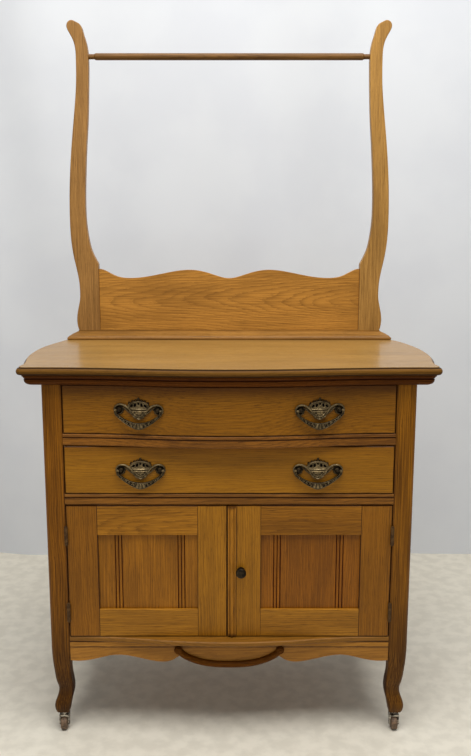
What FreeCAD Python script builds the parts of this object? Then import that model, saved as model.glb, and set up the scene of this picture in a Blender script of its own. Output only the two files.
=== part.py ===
import FreeCAD, Part
import math
import os

# Oak washstand with a towel rack, in millimetres.
# X runs to the right, the front looks towards -Y, Z is up and the floor is at zero.

V = FreeCAD.Vector
origin = V(0, 0, 0)
x_axis = V(1, 0, 0)
y_axis = V(0, 1, 0)
z_axis = V(0, 0, 1)

# Overall sizes
case_width = 713.5
case_depth = 392.0
top_height = 758.0
post = 39.0                # square of the corner posts
bow = 25.0                 # how far the bowed fronts come forward in the middle
side_overhang = 53.25      # of the top's bulging sides past the case
ear_overhang = 39.75       # of its front corners, sideways
front_overhang = 28.0      # of its front corners, forwards
rear_side_overhang = 16.5  # of its rear corners, sideways
rear_overhang = 10.0       # of its back edge

# Heights of the front, from the top down
top_thick = 15.5
bed_height = 20.0
top_rail_height = 20.5
upper_drawer_height = 94.0
upper_rail_height = 23.0
lower_drawer_height = 93.5
lower_rail_height = 22.0
base_share = 0.2473615     # of the top's height below the base, and the doors take up what is left
lip_height = 10.5
base_rail_height = 11.5
castor_height = 41.0
running_gap = 1.5          # round the drawer fronts and the doors
overrun = 2.0              # that a cutting tool runs past the wood

# Top
ear_round = 10.0
front_flat = 43.5          # straight stretch of the front edge beside each ear
quirk_inset = 5.0          # of the top face from the nose of the edge
quirk_drop = 1.8
nose_steps = 6
top_side_shares = ((0.962, 0.08), (0.984, 0.245), (1.0, 0.44), (0.985, 0.66), (0.93, 0.875))

# Bed moulding under the top: shares of its height from the top down, and of its inset
bed_inset = 18.0
bed_profile_shares = ((0.0, 0.45), (0.16, 0.45), (0.18, 0.52), (0.34, 0.60), (0.40, 0.70),
                      (0.46, 0.62), (0.70, 0.66), (0.88, 0.78), (1.0, 1.0))

# Posts and legs: shares of the leg's height, of the post inwards, of the post across, and of
# the post's outer rounding at the other corners
post_round = 11.0          # outer front corner
post_arris = 1.5           # the other corners
cabriole_shares = ((0.93, 0.0, 0.995, 0.16), (0.86, -0.002, 0.97, 0.25),
                   (0.777, -0.006, 0.925, 0.38), (0.68, -0.001, 0.869, 0.48),
                   (0.58, 0.023, 0.841, 0.55), (0.44, 0.0885, 0.828, 0.55), (0.36, 0.137, 0.782, 0.55),
                   (0.32, 0.145, 0.772, 0.55), (0.27, 0.127, 0.777, 0.55), (0.20, 0.055, 0.803, 0.55),
                   (0.116, -0.029, 0.823, 0.55), (0.05, -0.047, 0.772, 0.5), (0.0, -0.035, 0.685, 0.4))
rear_foot = 27.0

# Rails, panels and the inside of the case
tenon_length = 20.0
tenon_thick = 12.0
tenon_shoulder = 3.0       # above and below the tenons of the front and back rails
side_tenon_thick = 8.0
side_tenon_shoulder = 6.0
bead_height = 6.5
bead_swell = 1.2
groove_width = 1.4
groove_depth = 2.4
rail_round = 4.0
side_rail_height = 55.0
side_rail_thick = 20.0
side_rail_inset = 2.0
panel_thick = 6.0
panel_tongue = 8.0
panel_play = 0.5
back_rail_thick = 20.0
back_rail_height = 52.0
back_lap = 10.0
runner_thick = 18.0
runner_width = 34.0
guide_height = 18.0
guide_play = 1.0
kicker_play = 3.0
lip_round = 3.5

# Apron and its applied scroll
apron_thick = 19.0
apron_drop = 32.0
apron_setback = 0.5
apron_edge_shares = ((1.0, 0.90), (0.93, 0.935), (0.83, 0.766), (0.72, 0.534), (0.58, 0.70),
                     (0.476, 0.94), (0.42, 1.0), (0.362, 0.906), (0.332, 0.72))
scroll_span_share = 0.3194 # of the opening between the posts
scroll_rise = 31.0
scroll_top_drop = 5.7      # of the end bosses' centres below the apron's top
scroll_width = 12.5
scroll_depth = 8.0
scroll_boss = 16.5
boss_shoulder_share = 0.9  # of the boss's height at the middle of its dome
scroll_reveal = 3.0        # of the scroll below the apron
scroll_shares = ((0.93, 0.75), (0.77, 0.43), (0.49, 0.13), (0.0, 0.0))

# Drawers
front_thick = 20.0
front_arris = 1.2
drawer_side_thick = 11.0
drawer_side_height = 80.0
drawer_back_thick = 12.0
drawer_bottom_thick = 6.0
drawer_bottom_rise = 8.0
drawer_bottom_tongue = 5.0
drawer_back_drop = 5.0
slide_play = 0.4
drawer_rear_play = 1.0
dovetail_count = 3
dovetail_lap = 12.0
dovetail_tip = 17.0
dovetail_root = 12.0
drawer_housing = 3.0       # of the drawer's back in its sides
drawer_back_inset = 10.0

# Doors
stile = 59.75
door_top_rail = 59.5
door_bottom_rail = 56.5
door_thick = 20.0
door_tenon = 25.0
door_tenon_thick = 8.0
door_tenon_edge = 10.0
panel_half_gap = 62.0      # from the middle of the case to each panel
door_joint_x = -4.25       # the doors meet a little left of the middle
door_panel_sink = 6.0
door_arris = 0.8
reed_width = 2.4
reed_depth = 1.8
reed_pitch = 6.4
reed_count = 3
reeds_from_inner = 32.0    # middle of each group from the meeting stile, and from the outer one
reeds_from_outer = 39.5
astragal_width = 17.5
astragal_thick = 5.0
astragal_end_gap = 1.0
astragal_shares = ((0.0, 0.0), (0.0, 0.42), (0.06, 0.62), (0.15, 0.68), (0.21, 0.62), (0.25, 0.34),
                   (0.31, 0.34), (0.34, 0.72), (0.41, 0.93), (0.5, 1.0), (0.59, 0.93),
                   (0.66, 0.72), (0.69, 0.34), (0.75, 0.34), (0.79, 0.62), (0.85, 0.68),
                   (0.94, 0.62), (1.0, 0.42), (1.0, 0.0))

# Butt hinges
hinge_height = 37.0
hinge_knuckle = 7.0
hinge_leaf_width = 16.0
hinge_leaf_thick = 1.3
hinge_mortise = 0.7        # how deep each leaf is let into the wood
hinge_pin = 2.6
hinge_fit = 0.05
hinge_set_off = 0.3        # between a knuckle and the face of the wood
knuckle_gap = 0.2
knuckle_count = 5
upper_hinge_drop = 60.0
lower_hinge_rise = 52.0
pin_head = 4.2
pin_head_height = 1.6

# Door knob and its turn catch
knob_x = 23.0
knob_rise_share = 0.508
knob_width = 20.5
knob_length = 17.0
knob_shares = ((0.46, 0.0), (0.38, 0.12), (0.36, 0.26), (0.44, 0.38), (0.72, 0.50), (0.95, 0.62),
               (1.0, 0.73), (0.93, 0.86), (0.66, 0.96), (0.32, 0.99))
knob_spindle = 5.0
knob_fit = 0.05
rosette_width = 16.4
rosette_thick = 1.4
catch_reach = 38.0
catch_tail = 7.0
catch_width = 10.0
catch_thick = 3.0
catch_gap = 0.5
catch_round = 4.0

# Drawer pulls
pull_inset = 147.75        # of their middle from the posts
pull_rise_share = 0.515
pull_centres = 74.0
basket_width = 38.8
basket_rise = 17.2
basket_shares = ((0.0, -1.08), (0.27, -1.02), (0.50, -0.82), (0.68, -0.46), (0.80, -0.12),
                 (0.94, 0.10), (0.98, 0.38), (0.79, 0.70), (0.43, 0.93), (0.0, 1.0))
basket_hole = 3.6
basket_hole_shares = ((-0.64, 0.46), (-0.31, 0.56), (0.0, 0.78), (0.31, 0.56), (0.64, 0.46))
plate_thick = 2.4
pull_boss = 20.0
pull_arm = 7.0
pull_post = 7.0
pull_post_length = 11.2
pull_sink = 3.0            # that a plate is made longer by before the wood cuts it to fit
boss_rim = 1.0
boss_dome = 1.2
bail_thick = 3.6
bail_stand_off = 7.6       # of the bail's pivot from the wood
bail_pin = 2.8
bail_pin_length = 6.0
bail_fit = 0.05
bail_side_gap = 0.5
bail_ear = 5.2
bail_ear_rise = 3.4
bail_ear_drop = 8.0
bail_drop = 37.5
bail_cheek = 29.0          # half way along the outer line of each arm
bail_cheek_drop = 23.6
bail_shoulder = 37.0
bail_shoulder_drop = 10.0
bail_inner_drop = 24.2
bail_post_clearance = 6.6
bail_nose_half = 10.0
bail_nose_rise = 2.6
bolt_thick = 3.4           # of the bolts from inside the drawer into the posts
bolt_fit = 0.05
bolt_bite = 5.0
bolt_hole_play = 0.4
bolt_head = 8.4
bolt_head_height = 2.6
bolt_seat = 1.2            # how deep a head is let into the front
bolt_slot_width = 1.0
bolt_slot_depth = 0.9

# Towel rack
rack_base_overhang = 15.0  # past the sides of the case
rack_base_depth = 46.0
rack_base_height = 19.5
rack_profile_run = 23.0
rack_profile_shares = ((0.0, 0.06), (0.10, 0.0), (0.26, 0.02), (0.46, 0.20), (0.58, 0.42),
                       (0.66, 0.60), (0.84, 0.86), (0.88, 1.0), (1.0, 1.0))
rack_height = 680.0        # of the uprights
rack_overhang = 5.0        # of the widest part of the uprights past the case
rack_thick = 19.0
rack_arris = 1.5
splash_width_share = 0.829
splash_height = 141.0
splash_thick = 12.0
splash_setback = 3.0
splash_wave_shares = ((0.98, 0.995), (0.93, 0.95), (0.87, 0.885), (0.81, 0.855), (0.745, 0.85),
                      (0.60, 0.885), (0.42, 0.96), (0.284, 0.982), (0.14, 0.92), (0.0, 0.847))
# outline of an upright from the foot up the outside, over the tip and down the inside:
# shares of the half width and of the height
outer_shares = ((0.963, 0.0), (0.9745, 0.034), (0.967, 0.068), (0.953, 0.103), (0.9505, 0.137),
                (0.955, 0.17), (0.979, 0.237), (0.996, 0.303), (1.0, 0.36), (0.996, 0.466),
                (0.978, 0.594), (0.951, 0.72), (0.935, 0.81), (0.932, 0.88), (0.935, 0.916),
                (0.951, 0.945), (0.973, 0.966), (0.983, 0.984), (0.972, 0.996), (0.950, 1.0))
inner_shares = ((0.926, 0.995), (0.904, 0.9885), (0.885, 0.965), (0.869, 0.936), (0.858, 0.90),
                (0.857, 0.86), (0.863, 0.77), (0.871, 0.689), (0.881, 0.625), (0.893, 0.53),
                (0.901, 0.42), (0.898, 0.36), (0.885, 0.304), (0.870, 0.27), (0.848, 0.243))
rack_step_share = 0.2235   # height where the inner edge meets the splashboard's end
bar_thick = 14.8
bar_neck = 11.0
bar_neck_length = 14.0
bar_shoulder = 3.0
bar_hole_depth = 12.0
bar_end_share = 0.886
bar_rise_share = 0.890

# Castors
wheel_width = 12.5
wheel_diameter = 27.0
wheel_round = 2.5
hub_width = 13.4
hub_diameter = 9.0
axle = 3.6
axle_fit = 0.05
fork_side_gap = 0.5
fork_thick = 2.6
fork_crown_gap = 1.6
fork_crown_height = 3.4
fork_arm_width = 9.0
castor_trail = 5.0
castor_collar = 14.0
castor_stem = 7.0
castor_stem_length = 27.0
stem_fit = 0.05
socket_flange = 23.0
socket_flange_thick = 1.5
socket_sleeve = 10.0
socket_length = 30.0
swivel_gap = 0.3
rivet_head = 6.0
rivet_head_thick = 0.8

# Places worked out from the sizes
half_case = case_width / 2
opening = half_case - post
top_width = case_width + 2 * side_overhang
ear_width = case_width + 2 * ear_overhang
top_back_width = case_width + 2 * rear_side_overhang
top_depth = bow + front_overhang + case_depth + rear_overhang
top_front = -top_depth / 2
top_back = top_depth / 2
ear_front = top_front + bow
front = ear_front + front_overhang
back = front + case_depth
post_x = half_case - post / 2
front_post_y = front + post / 2
back_panel_y = back - panel_thick
rail_back = front + post
rear_post_front = back - post

top_under = top_height - top_thick
bed_bottom = top_under - bed_height
top_rail_bottom = top_under - top_rail_height
upper_drawer_bottom = top_rail_bottom - running_gap - upper_drawer_height
upper_rail_top = upper_drawer_bottom - running_gap
upper_rail_bottom = upper_rail_top - upper_rail_height
lower_drawer_bottom = upper_rail_bottom - running_gap - lower_drawer_height
lower_rail_top = lower_drawer_bottom - running_gap
lower_rail_bottom = lower_rail_top - lower_rail_height
door_top = lower_rail_bottom - running_gap
base_bottom = top_height * base_share
lip_bottom = base_bottom + base_rail_height
floor_top = lip_bottom + lip_height
door_bottom = floor_top + running_gap
door_height = door_top - door_bottom
scroll_half_span = opening * scroll_span_share
rack_base_top = top_height + rack_base_height
rack_y = top_back - rack_thick
rack_half_width = half_case + rack_overhang
splash_half_width = rack_half_width * splash_width_share
pull_x = opening - pull_inset

drawer_half = opening - running_gap
drawer_rear = back_panel_y - drawer_rear_play
side_outer = half_case - side_rail_inset
side_inner = side_outer - side_rail_thick
panel_outer = side_outer - (side_rail_thick - panel_thick) / 2
lower_side_rail_top = base_bottom + side_rail_height
upper_side_rail_bottom = top_under - side_rail_height
hinge_x = opening - running_gap / 2
hinge_y = front - hinge_set_off - hinge_knuckle / 2
knob_z = door_bottom + door_height * knob_rise_share
rear_castor_x = half_case - rear_foot / 2
rear_castor_y = back - rear_foot / 2

os.makedirs("parts", exist_ok=True)


# Small helpers

def save(name, *solids):
    """Write one sub-part, a solid or a group of separate solids, as a STEP file."""
    shape = solids[0] if len(solids) == 1 else Part.makeCompound(list(solids))
    for solid in shape.Solids:
        if not solid.isValid() or not solid.isClosed():
            raise ValueError(name + " has a solid that is open or not valid")
    shape.exportStep("parts/" + name + ".step")


def block(x0, x1, y0, y1, z0, z1):
    """A box between two corners, given in any order along X."""
    return Part.makeBox(abs(x1 - x0), y1 - y0, z1 - z0, V(min(x0, x1), y0, z0))


def mirrored(shape):
    """The same piece on the other side of the case."""
    return shape.mirror(origin, x_axis)


def rod(diameter, length, base, direction):
    return Part.makeCylinder(diameter / 2, length, base, direction)


def one_solid(shape):
    """The single solid that a cut or a joint of solids leaves."""
    solids = shape.removeSplitter().Solids
    if len(solids) != 1:
        raise ValueError("expected one solid, found " + str(len(solids)))
    return solids[0]


def line(a, b):
    return Part.LineSegment(a, b).toShape()


def arc(a, middle, b):
    return Part.Arc(a, middle, b).toShape()


def curve(points, start=None, end=None):
    """A smooth curve through points, with its directions at the ends where given."""
    spline = Part.BSplineCurve()
    if start is None:
        spline.interpolate(Points=points)
    else:
        spline.interpolate(Points=points, InitialTangent=start, FinalTangent=end)
    return spline.toShape()


def board_from(edges, thickness):
    """A board cut out along closed edges in one plane, and its thickness as a vector."""
    return Part.Face(Part.Wire(Part.__sortEdges__(edges))).extrude(thickness)


def polygon_board(points, thickness):
    """A board cut out along straight lines."""
    return Part.Face(Part.makePolygon(points + points[:1])).extrude(thickness)


def is_along(edge, axis):
    """Whether an edge is straight and parallel to an axis."""
    if edge.Curve.TypeId != "Part::GeomLine":
        return False
    return edge.tangentAt(edge.FirstParameter).cross(axis).Length < math.sin(math.radians(1))


# The bow of the top, the upper drawer, its rail and the floor's lip: two reverse arcs
# and one forward arc between them, tangent to each other and level at the ends

def bow_turn(half):
    """The turn of each reverse arc, and the radius of all three."""
    turn = 2 * math.atan(bow / half)
    return turn, half / (2 * math.sin(turn))


def bow_edges(half, y, z):
    """The bowed line from the left end to the right end."""
    turn, radius = bow_turn(half)
    quarter_x = half - radius * math.sin(turn / 2)
    quarter_y = y - radius * (1 - math.cos(turn / 2))
    knee_left = V(-half / 2, y - bow / 2, z)
    knee_right = V(half / 2, y - bow / 2, z)
    return [arc(V(-half, y, z), V(-quarter_x, quarter_y, z), knee_left),
            arc(knee_left, V(0, y - bow, z), knee_right),
            arc(knee_right, V(quarter_x, quarter_y, z), V(half, y, z))]


def bow_at(half, x):
    """How far the bow stands forward at x, and the turn of the face there in degrees."""
    radius = bow_turn(half)[1]
    reach = abs(x)
    if reach < half / 2:
        angle = math.asin(reach / radius)
        forward = bow - radius * (1 - math.cos(angle))
    else:
        angle = math.asin((half - reach) / radius)
        forward = radius * (1 - math.cos(angle))
    return forward, math.copysign(math.degrees(angle), x)


def bowed_board(z0, z1, y_back):
    """A board between the posts with a bowed front and a flat back."""
    edges = bow_edges(opening, front, z0)
    edges += [line(V(opening, front, z0), V(opening, y_back, z0)),
              line(V(opening, y_back, z0), V(-opening, y_back, z0)),
              line(V(-opening, y_back, z0), V(-opening, front, z0))]
    return board_from(edges, V(0, 0, z1 - z0))


# Top board and the moulding under it

def top_outline(inset, z):
    """The outline of the top, drawn in by the inset at its front and sides."""
    y0 = ear_front + inset
    run = ear_width / 2 - front_flat
    ear = ear_width / 2 - inset
    turn_x = ear - ear_round
    diagonal = ear_round * (1 - math.cos(math.radians(45)))
    length = top_back - ear_front
    side = [V(ear, y0 + ear_round, z)]
    side += [V(top_width / 2 * share_x - inset, ear_front + length * share_y, z)
             for share_x, share_y in top_side_shares]
    side.append(V(top_back_width / 2 - inset, top_back + overrun, z))
    other_side = [V(-point.x, point.y, z) for point in side]
    edges = [line(V(-turn_x, y0, z), V(-run, y0, z))] + bow_edges(run, y0, z)
    edges += [line(V(run, y0, z), V(turn_x, y0, z)),
              arc(V(turn_x, y0, z), V(ear - diagonal, y0 + diagonal, z), side[0]),
              curve(side, y_axis, y_axis),
              line(side[-1], other_side[-1]),
              curve(list(reversed(other_side)), -y_axis, -y_axis),
              arc(other_side[0], V(diagonal - ear, y0 + diagonal, z), V(-turn_x, y0, z))]
    return Part.Wire(edges)


def sawn_back(board):
    """A board of the top with its back edge sawn off square."""
    return board.cut(block(-top_width, top_width, top_back, top_back + 2 * overrun,
                           bed_bottom - overrun, rack_base_top + overrun))


def moulded_slab(levels):
    """A slab whose edge steps through pairs of inset and height, from the top down."""
    return sawn_back(Part.makeLoft([top_outline(inset, z) for inset, z in levels], True, True))


def make_top_board():
    """A half-round nose under a small quirk."""
    half_nose = (top_thick - quirk_drop) / 2
    nose_z = top_under + half_nose
    levels = [(quirk_inset, top_height)]
    for step in range(nose_steps + 1):
        angle = math.radians(90 - 180 * step / nose_steps)
        levels.append((quirk_inset * (1 - math.cos(angle)), nose_z + half_nose * math.sin(angle)))
    return one_solid(moulded_slab(levels))


def make_bed_moulding():
    """Front and side strips of a cove over a bead, mitred at the front corners."""
    levels = [(bed_inset * share_in, top_under - bed_height * share_z)
              for share_z, share_in in bed_profile_shares]
    slab = moulded_slab(levels)
    inside = block(-half_case, half_case, front, top_back + overrun,
                   bed_bottom - overrun, top_under + overrun)
    strips = slab.cut(inside)
    low = bed_bottom - overrun
    far_x = ear_width - half_case
    far_y = front - 2 * front_overhang
    mitre = polygon_board([V(-half_case, front, low), V(half_case, front, low),
                           V(far_x, far_y, low), V(-far_x, far_y, low)],
                          V(0, 0, bed_height + 2 * overrun))
    return one_solid(strips.common(mitre)), strips.cut(mitre).Solids


# Posts and legs, modelled for the right side

def rounded_square(x, y, size, outer_round, arris, z):
    """A square whose outer front corner has its own radius, as a closed wire."""
    half = size / 2
    corners = ((1, -1, outer_round), (1, 1, arris), (-1, 1, arris), (-1, -1, arris))
    edges = []
    ends = []
    for sign_x, sign_y, radius in corners:
        corner = V(x + sign_x * half, y + sign_y * half, z)
        along_x = V(-sign_x * radius, 0, 0)
        along_y = V(0, -sign_y * radius, 0)
        centre = corner + along_x + along_y
        middle = centre + V(sign_x, sign_y, 0) * (radius * math.sqrt(0.5))
        first, last = (corner + along_x, corner + along_y)
        if sign_x * sign_y > 0:
            first, last = last, first
        ends.append((first, middle, last))
    for index, (first, middle, last) in enumerate(ends):
        edges.append(arc(first, middle, last))
        edges.append(line(last, ends[(index + 1) % len(ends)][0]))
    return Part.Wire(edges)


def side_panel_slot(play):
    """The space of a side panel with its tongues, grown by the play at its edges."""
    reach = panel_tongue + play
    return block(panel_outer - panel_thick, panel_outer, rail_back - reach, rear_post_front + reach,
                 lower_side_rail_top - reach, upper_side_rail_bottom + reach)


def hinge_heights():
    """The middle heights of the upper and lower hinges."""
    return door_top - upper_hinge_drop, door_bottom + lower_hinge_rise


def socket_hole(x, y):
    """The hole for a castor's sleeve in the end of a leg."""
    return rod(socket_sleeve, socket_length + overrun, V(x, y, castor_height - overrun), z_axis)


def post_leaf(z):
    """The wide part of the hinge leaf on the post, let into the wood."""
    x1 = opening + hinge_mortise
    return block(x1 - hinge_leaf_thick, x1, front, front + hinge_leaf_width,
                 z - hinge_height / 2, z + hinge_height / 2)


def door_leaf(z):
    """The wide part of the hinge leaf on the door, let into the stile."""
    x0 = drawer_half - hinge_mortise
    return block(x0, x0 + hinge_leaf_thick, front, front + hinge_leaf_width,
                 z - hinge_height / 2, z + hinge_height / 2)


def make_front_leg():
    """A post with a rounded outer corner that turns into a cabriole leg below the base."""
    leg_height = base_bottom - castor_height
    top_section = rounded_square(post_x, front_post_y, post, post_round, post_arris, base_bottom)
    sections = [top_section]
    for share_z, share_in, share_size, share_round in cabriole_shares:
        shift = post * share_in
        sections.append(rounded_square(post_x - shift, front_post_y + shift, post * share_size,
                                       post_round * share_size, post_round * share_round,
                                       castor_height + leg_height * share_z))
    leg = Part.makeLoft(sections, True, False)
    upright = Part.Face(top_section).extrude(V(0, 0, top_under - base_bottom))
    leg = leg.fuse(upright).cut(side_panel_slot(panel_play)).cut(socket_hole(post_x, front_post_y))
    for z in hinge_heights():
        leg = leg.cut(post_leaf(z))
    return one_solid(leg)


def make_rear_leg():
    """A square post that tapers on its inner faces below the base."""
    top_section = rounded_square(post_x, back - post / 2, post, post_arris, post_arris, base_bottom)
    foot_section = rounded_square(rear_castor_x, rear_castor_y, rear_foot,
                                  post_arris, post_arris, castor_height)
    leg = Part.makeLoft([top_section, foot_section], True, True)
    upright = Part.Face(top_section).extrude(V(0, 0, top_under - base_bottom))
    rebate = block(0, opening + back_lap, back_panel_y, back + overrun, base_bottom, top_under + overrun)
    leg = leg.fuse(upright).cut(side_panel_slot(panel_play)).cut(rebate)
    return one_solid(leg.cut(socket_hole(rear_castor_x, rear_castor_y)))


# Rails, panels, floor and runners

def tenoned(rail, y, z0, z1):
    """A rail between two posts with a tenon at each end, centred on y."""
    tenon = block(-opening - tenon_length, opening + tenon_length, y - tenon_thick / 2,
                  y + tenon_thick / 2, z0 + tenon_shoulder, z1 - tenon_shoulder)
    return one_solid(rail.fuse(tenon))


def rail_profile(x, z0, z1, depth):
    """A bead, a groove and a fascia with a rounded lower edge, as a face across the rail."""
    swell_y = front + bead_swell
    bead_z = z1 - bead_height
    groove_z = bead_z - groove_width
    dip = rail_round * (1 - math.cos(math.radians(45)))
    points = [V(x, swell_y, bead_z), V(x, front + groove_depth, bead_z),
              V(x, front + groove_depth, groove_z), V(x, front, groove_z),
              V(x, front, z0 + rail_round)]
    edges = [arc(V(x, swell_y, z1), V(x, front, z1 - bead_height / 2), points[0])]
    edges += [line(a, b) for a, b in zip(points, points[1:])]
    edges += [arc(points[-1], V(x, front + dip, z0 + dip), V(x, front + rail_round, z0)),
              line(V(x, front + rail_round, z0), V(x, front + depth, z0)),
              line(V(x, front + depth, z0), V(x, front + depth, z1)),
              line(V(x, front + depth, z1), V(x, swell_y, z1))]
    return Part.Wire(edges)


def make_upper_rail():
    """The rail under the bowed drawer follows its bow and has a flat back."""
    path = Part.Wire(bow_edges(opening, front, upper_rail_bottom))
    profile = rail_profile(-opening, upper_rail_bottom, upper_rail_top, post + 2 * bow)
    swept = path.makePipeShell([profile], True, True)
    keep = block(-opening, opening, front - bow - overrun, rail_back,
                 upper_rail_bottom - overrun, upper_rail_top + overrun)
    return one_solid(swept.common(keep))


def make_lower_rail():
    profile = rail_profile(-opening, lower_rail_bottom, lower_rail_top, post)
    return Part.Face(profile).extrude(V(2 * opening, 0, 0))


def side_rail(z0, z1, tenon_z0, tenon_z1):
    """A rail of the right side with a tenon in each post and a groove for the panel."""
    middle = (side_inner + side_outer) / 2
    rail = block(side_inner, side_outer, rail_back, rear_post_front, z0, z1)
    tenon = block(middle - side_tenon_thick / 2, middle + side_tenon_thick / 2,
                  rail_back - tenon_length, rear_post_front + tenon_length, tenon_z0, tenon_z1)
    return rail.fuse(tenon).cut(side_panel_slot(panel_play))


def make_side_rails():
    """The upper rail and the lower one, which also carries the cabinet's floor."""
    haunch = panel_tongue + panel_play
    upper = side_rail(upper_side_rail_bottom, top_under,
                      upper_side_rail_bottom + haunch, top_under - side_tenon_shoulder)
    lower = side_rail(base_bottom, lower_side_rail_top,
                      base_bottom + side_tenon_shoulder, lower_side_rail_top - haunch)
    return one_solid(upper), one_solid(lower.cut(floor_board(panel_play)))


def floor_board(play):
    """The cabinet floor behind its lip, with tongues in the side rails."""
    reach = side_inner + panel_tongue + play
    floor_rear = back_panel_y - back_rail_thick
    wide = block(-reach, reach, rail_back, rear_post_front, lip_bottom, floor_top)
    narrow = block(-opening, opening, front, floor_rear, lip_bottom, floor_top)
    return wide.fuse(narrow)


def make_bottom_board():
    """The floor with its bowed and rounded front lip."""
    lip = bowed_board(lip_bottom, floor_top, rail_back)
    edges = [edge for edge in lip.Edges
             if edge.BoundBox.YMax <= front + overrun and not is_along(edge, z_axis)
             and edge.BoundBox.ZLength < overrun and edge.BoundBox.XLength > overrun]
    strip = block(-opening, opening, front, rail_back, lip_bottom, floor_top)
    return one_solid(floor_board(0).cut(strip).fuse(lip.makeFillet(lip_round, edges)))


def make_runners():
    """Runners and guides for both drawers, and the kickers over the upper drawer's sides."""
    pieces = []
    inner = side_inner - runner_width
    for rail_top in (upper_rail_top, lower_rail_top):
        shelf = block(inner, side_inner, rail_back, rear_post_front, rail_top - runner_thick, rail_top)
        guide = block(drawer_half + guide_play, side_inner, rail_back, rear_post_front,
                      rail_top, rail_top + guide_height)
        pieces.append(one_solid(shelf.fuse(guide)))
    kicker_bottom = upper_rail_top + slide_play + drawer_side_height + kicker_play
    pieces.append(block(inner, side_inner, rail_back, rear_post_front, kicker_bottom, top_under))
    return pieces + [mirrored(piece) for piece in pieces]


# Apron and scroll

def scroll_points(y, drop):
    """Points along the scroll from its left end to its right end, lowered by the drop."""
    end_z = base_bottom - scroll_top_drop
    low_z = end_z - scroll_rise
    half = [V(scroll_half_span * share_x, y, low_z + scroll_rise * share_z - drop)
            for share_x, share_z in scroll_shares]
    return [V(-point.x, y, point.z) for point in half] + list(reversed(half[:-1]))


def make_apron(leg):
    """A shaped board between the legs, whose middle follows the scroll."""
    y = front + apron_setback
    side = [V(opening * share_x, y, base_bottom - apron_drop * share_z)
            for share_x, share_z in apron_edge_shares]
    other_side = [V(-point.x, y, point.z) for point in side]
    middle = scroll_points(y, scroll_width / 2 - scroll_reveal)
    edges = [line(V(-opening, y, base_bottom), V(opening, y, base_bottom)),
             line(V(opening, y, base_bottom), side[0]),
             curve(side), line(side[-1], middle[-1]), curve(middle),
             line(middle[0], other_side[-1]), curve(other_side),
             line(other_side[0], V(-opening, y, base_bottom))]
    apron = board_from(edges, V(0, apron_thick, 0))
    return one_solid(apron.cut(leg).cut(mirrored(leg)))


def make_scroll():
    """A half-round bead along the smile, with a domed boss at each end."""
    y = front + apron_setback
    end_z = base_bottom - scroll_top_drop
    points = scroll_points(y, 0)
    points = [V(-scroll_half_span, y, end_z)] + points + [V(scroll_half_span, y, end_z)]
    spine = curve(points)
    start = points[0]
    along = spine.tangentAt(spine.FirstParameter)
    across = along.cross(y_axis).normalize() * (scroll_width / 2)
    out = V(0, -scroll_depth, 0)
    dome = Part.Arc(start + across, start + out, start - across).toShape()
    profile = Part.Wire([dome, line(start - across, start + across)])
    bead = Part.Wire([spine]).makePipeShell([profile], True, True)
    boss_edge = V(scroll_boss / 2, 0, 0)
    half_dome = [arc(V(0, y - scroll_depth, 0),
                     V(scroll_boss / 2 * math.sin(math.radians(45)),
                       y - scroll_depth * boss_shoulder_share, 0),
                     V(scroll_boss / 2, y - scroll_depth / 2, 0)),
                 line(V(scroll_boss / 2, y - scroll_depth / 2, 0), V(0, y, 0) + boss_edge),
                 line(V(0, y, 0) + boss_edge, V(0, y, 0)),
                 line(V(0, y, 0), V(0, y - scroll_depth, 0))]
    boss = Part.Face(Part.Wire(half_dome)).revolve(origin, y_axis, 360)
    boss.translate(V(scroll_half_span, 0, end_z))
    return one_solid(bead.fuse(boss).fuse(mirrored(boss)))


# Towel rack on the top, the uprights modelled for the right side

def make_rack_base():
    """A board with an ogee along its front and ends and a plain back."""
    sections = []
    rear = top_back + overrun
    for share_z, share_in in rack_profile_shares:
        inset = rack_profile_run * share_in
        half = half_case + rack_base_overhang - inset
        y = top_back - rack_base_depth + inset
        z = top_height + rack_base_height * share_z
        corners = [V(-half, y, z), V(half, y, z), V(half, rear, z), V(-half, rear, z)]
        sections.append(Part.makePolygon(corners + corners[:1]))
    return one_solid(sawn_back(Part.makeLoft(sections, True, True)))


def make_splashboard():
    """A board between the uprights with a waved upper edge."""
    y = rack_y + splash_setback
    side = [V(splash_half_width * share_x, y, rack_base_top + splash_height * share_z)
            for share_x, share_z in splash_wave_shares]
    wave = side + [V(-point.x, y, point.z) for point in reversed(side[:-1])]
    top_right = V(splash_half_width, y, rack_base_top + splash_height)
    top_left = V(-splash_half_width, y, rack_base_top + splash_height)
    foot_right = V(splash_half_width, y, rack_base_top)
    foot_left = V(-splash_half_width, y, rack_base_top)
    edges = [line(top_right, wave[0]), curve(wave), line(wave[-1], top_left),
             line(top_left, foot_left), line(foot_left, foot_right), line(foot_right, top_right)]
    return board_from(edges, V(0, splash_thick, 0))


def make_bar():
    """A round bar whose necked ends sit in blind holes of the uprights."""
    end = rack_half_width * bar_end_share
    neck_start = end - bar_hole_depth - bar_neck_length
    y = rack_y + rack_thick / 2
    z = rack_base_top + rack_height * bar_rise_share
    body = rod(bar_thick, 2 * neck_start, V(-neck_start, y, z), x_axis)
    neck = rod(bar_neck, 2 * end, V(-end, y, z), x_axis)
    shoulder = Part.makeCone(bar_thick / 2, bar_neck / 2, bar_shoulder, V(neck_start, y, z), x_axis)
    return one_solid(body.fuse(neck).fuse(shoulder).fuse(mirrored(shoulder)))


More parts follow.
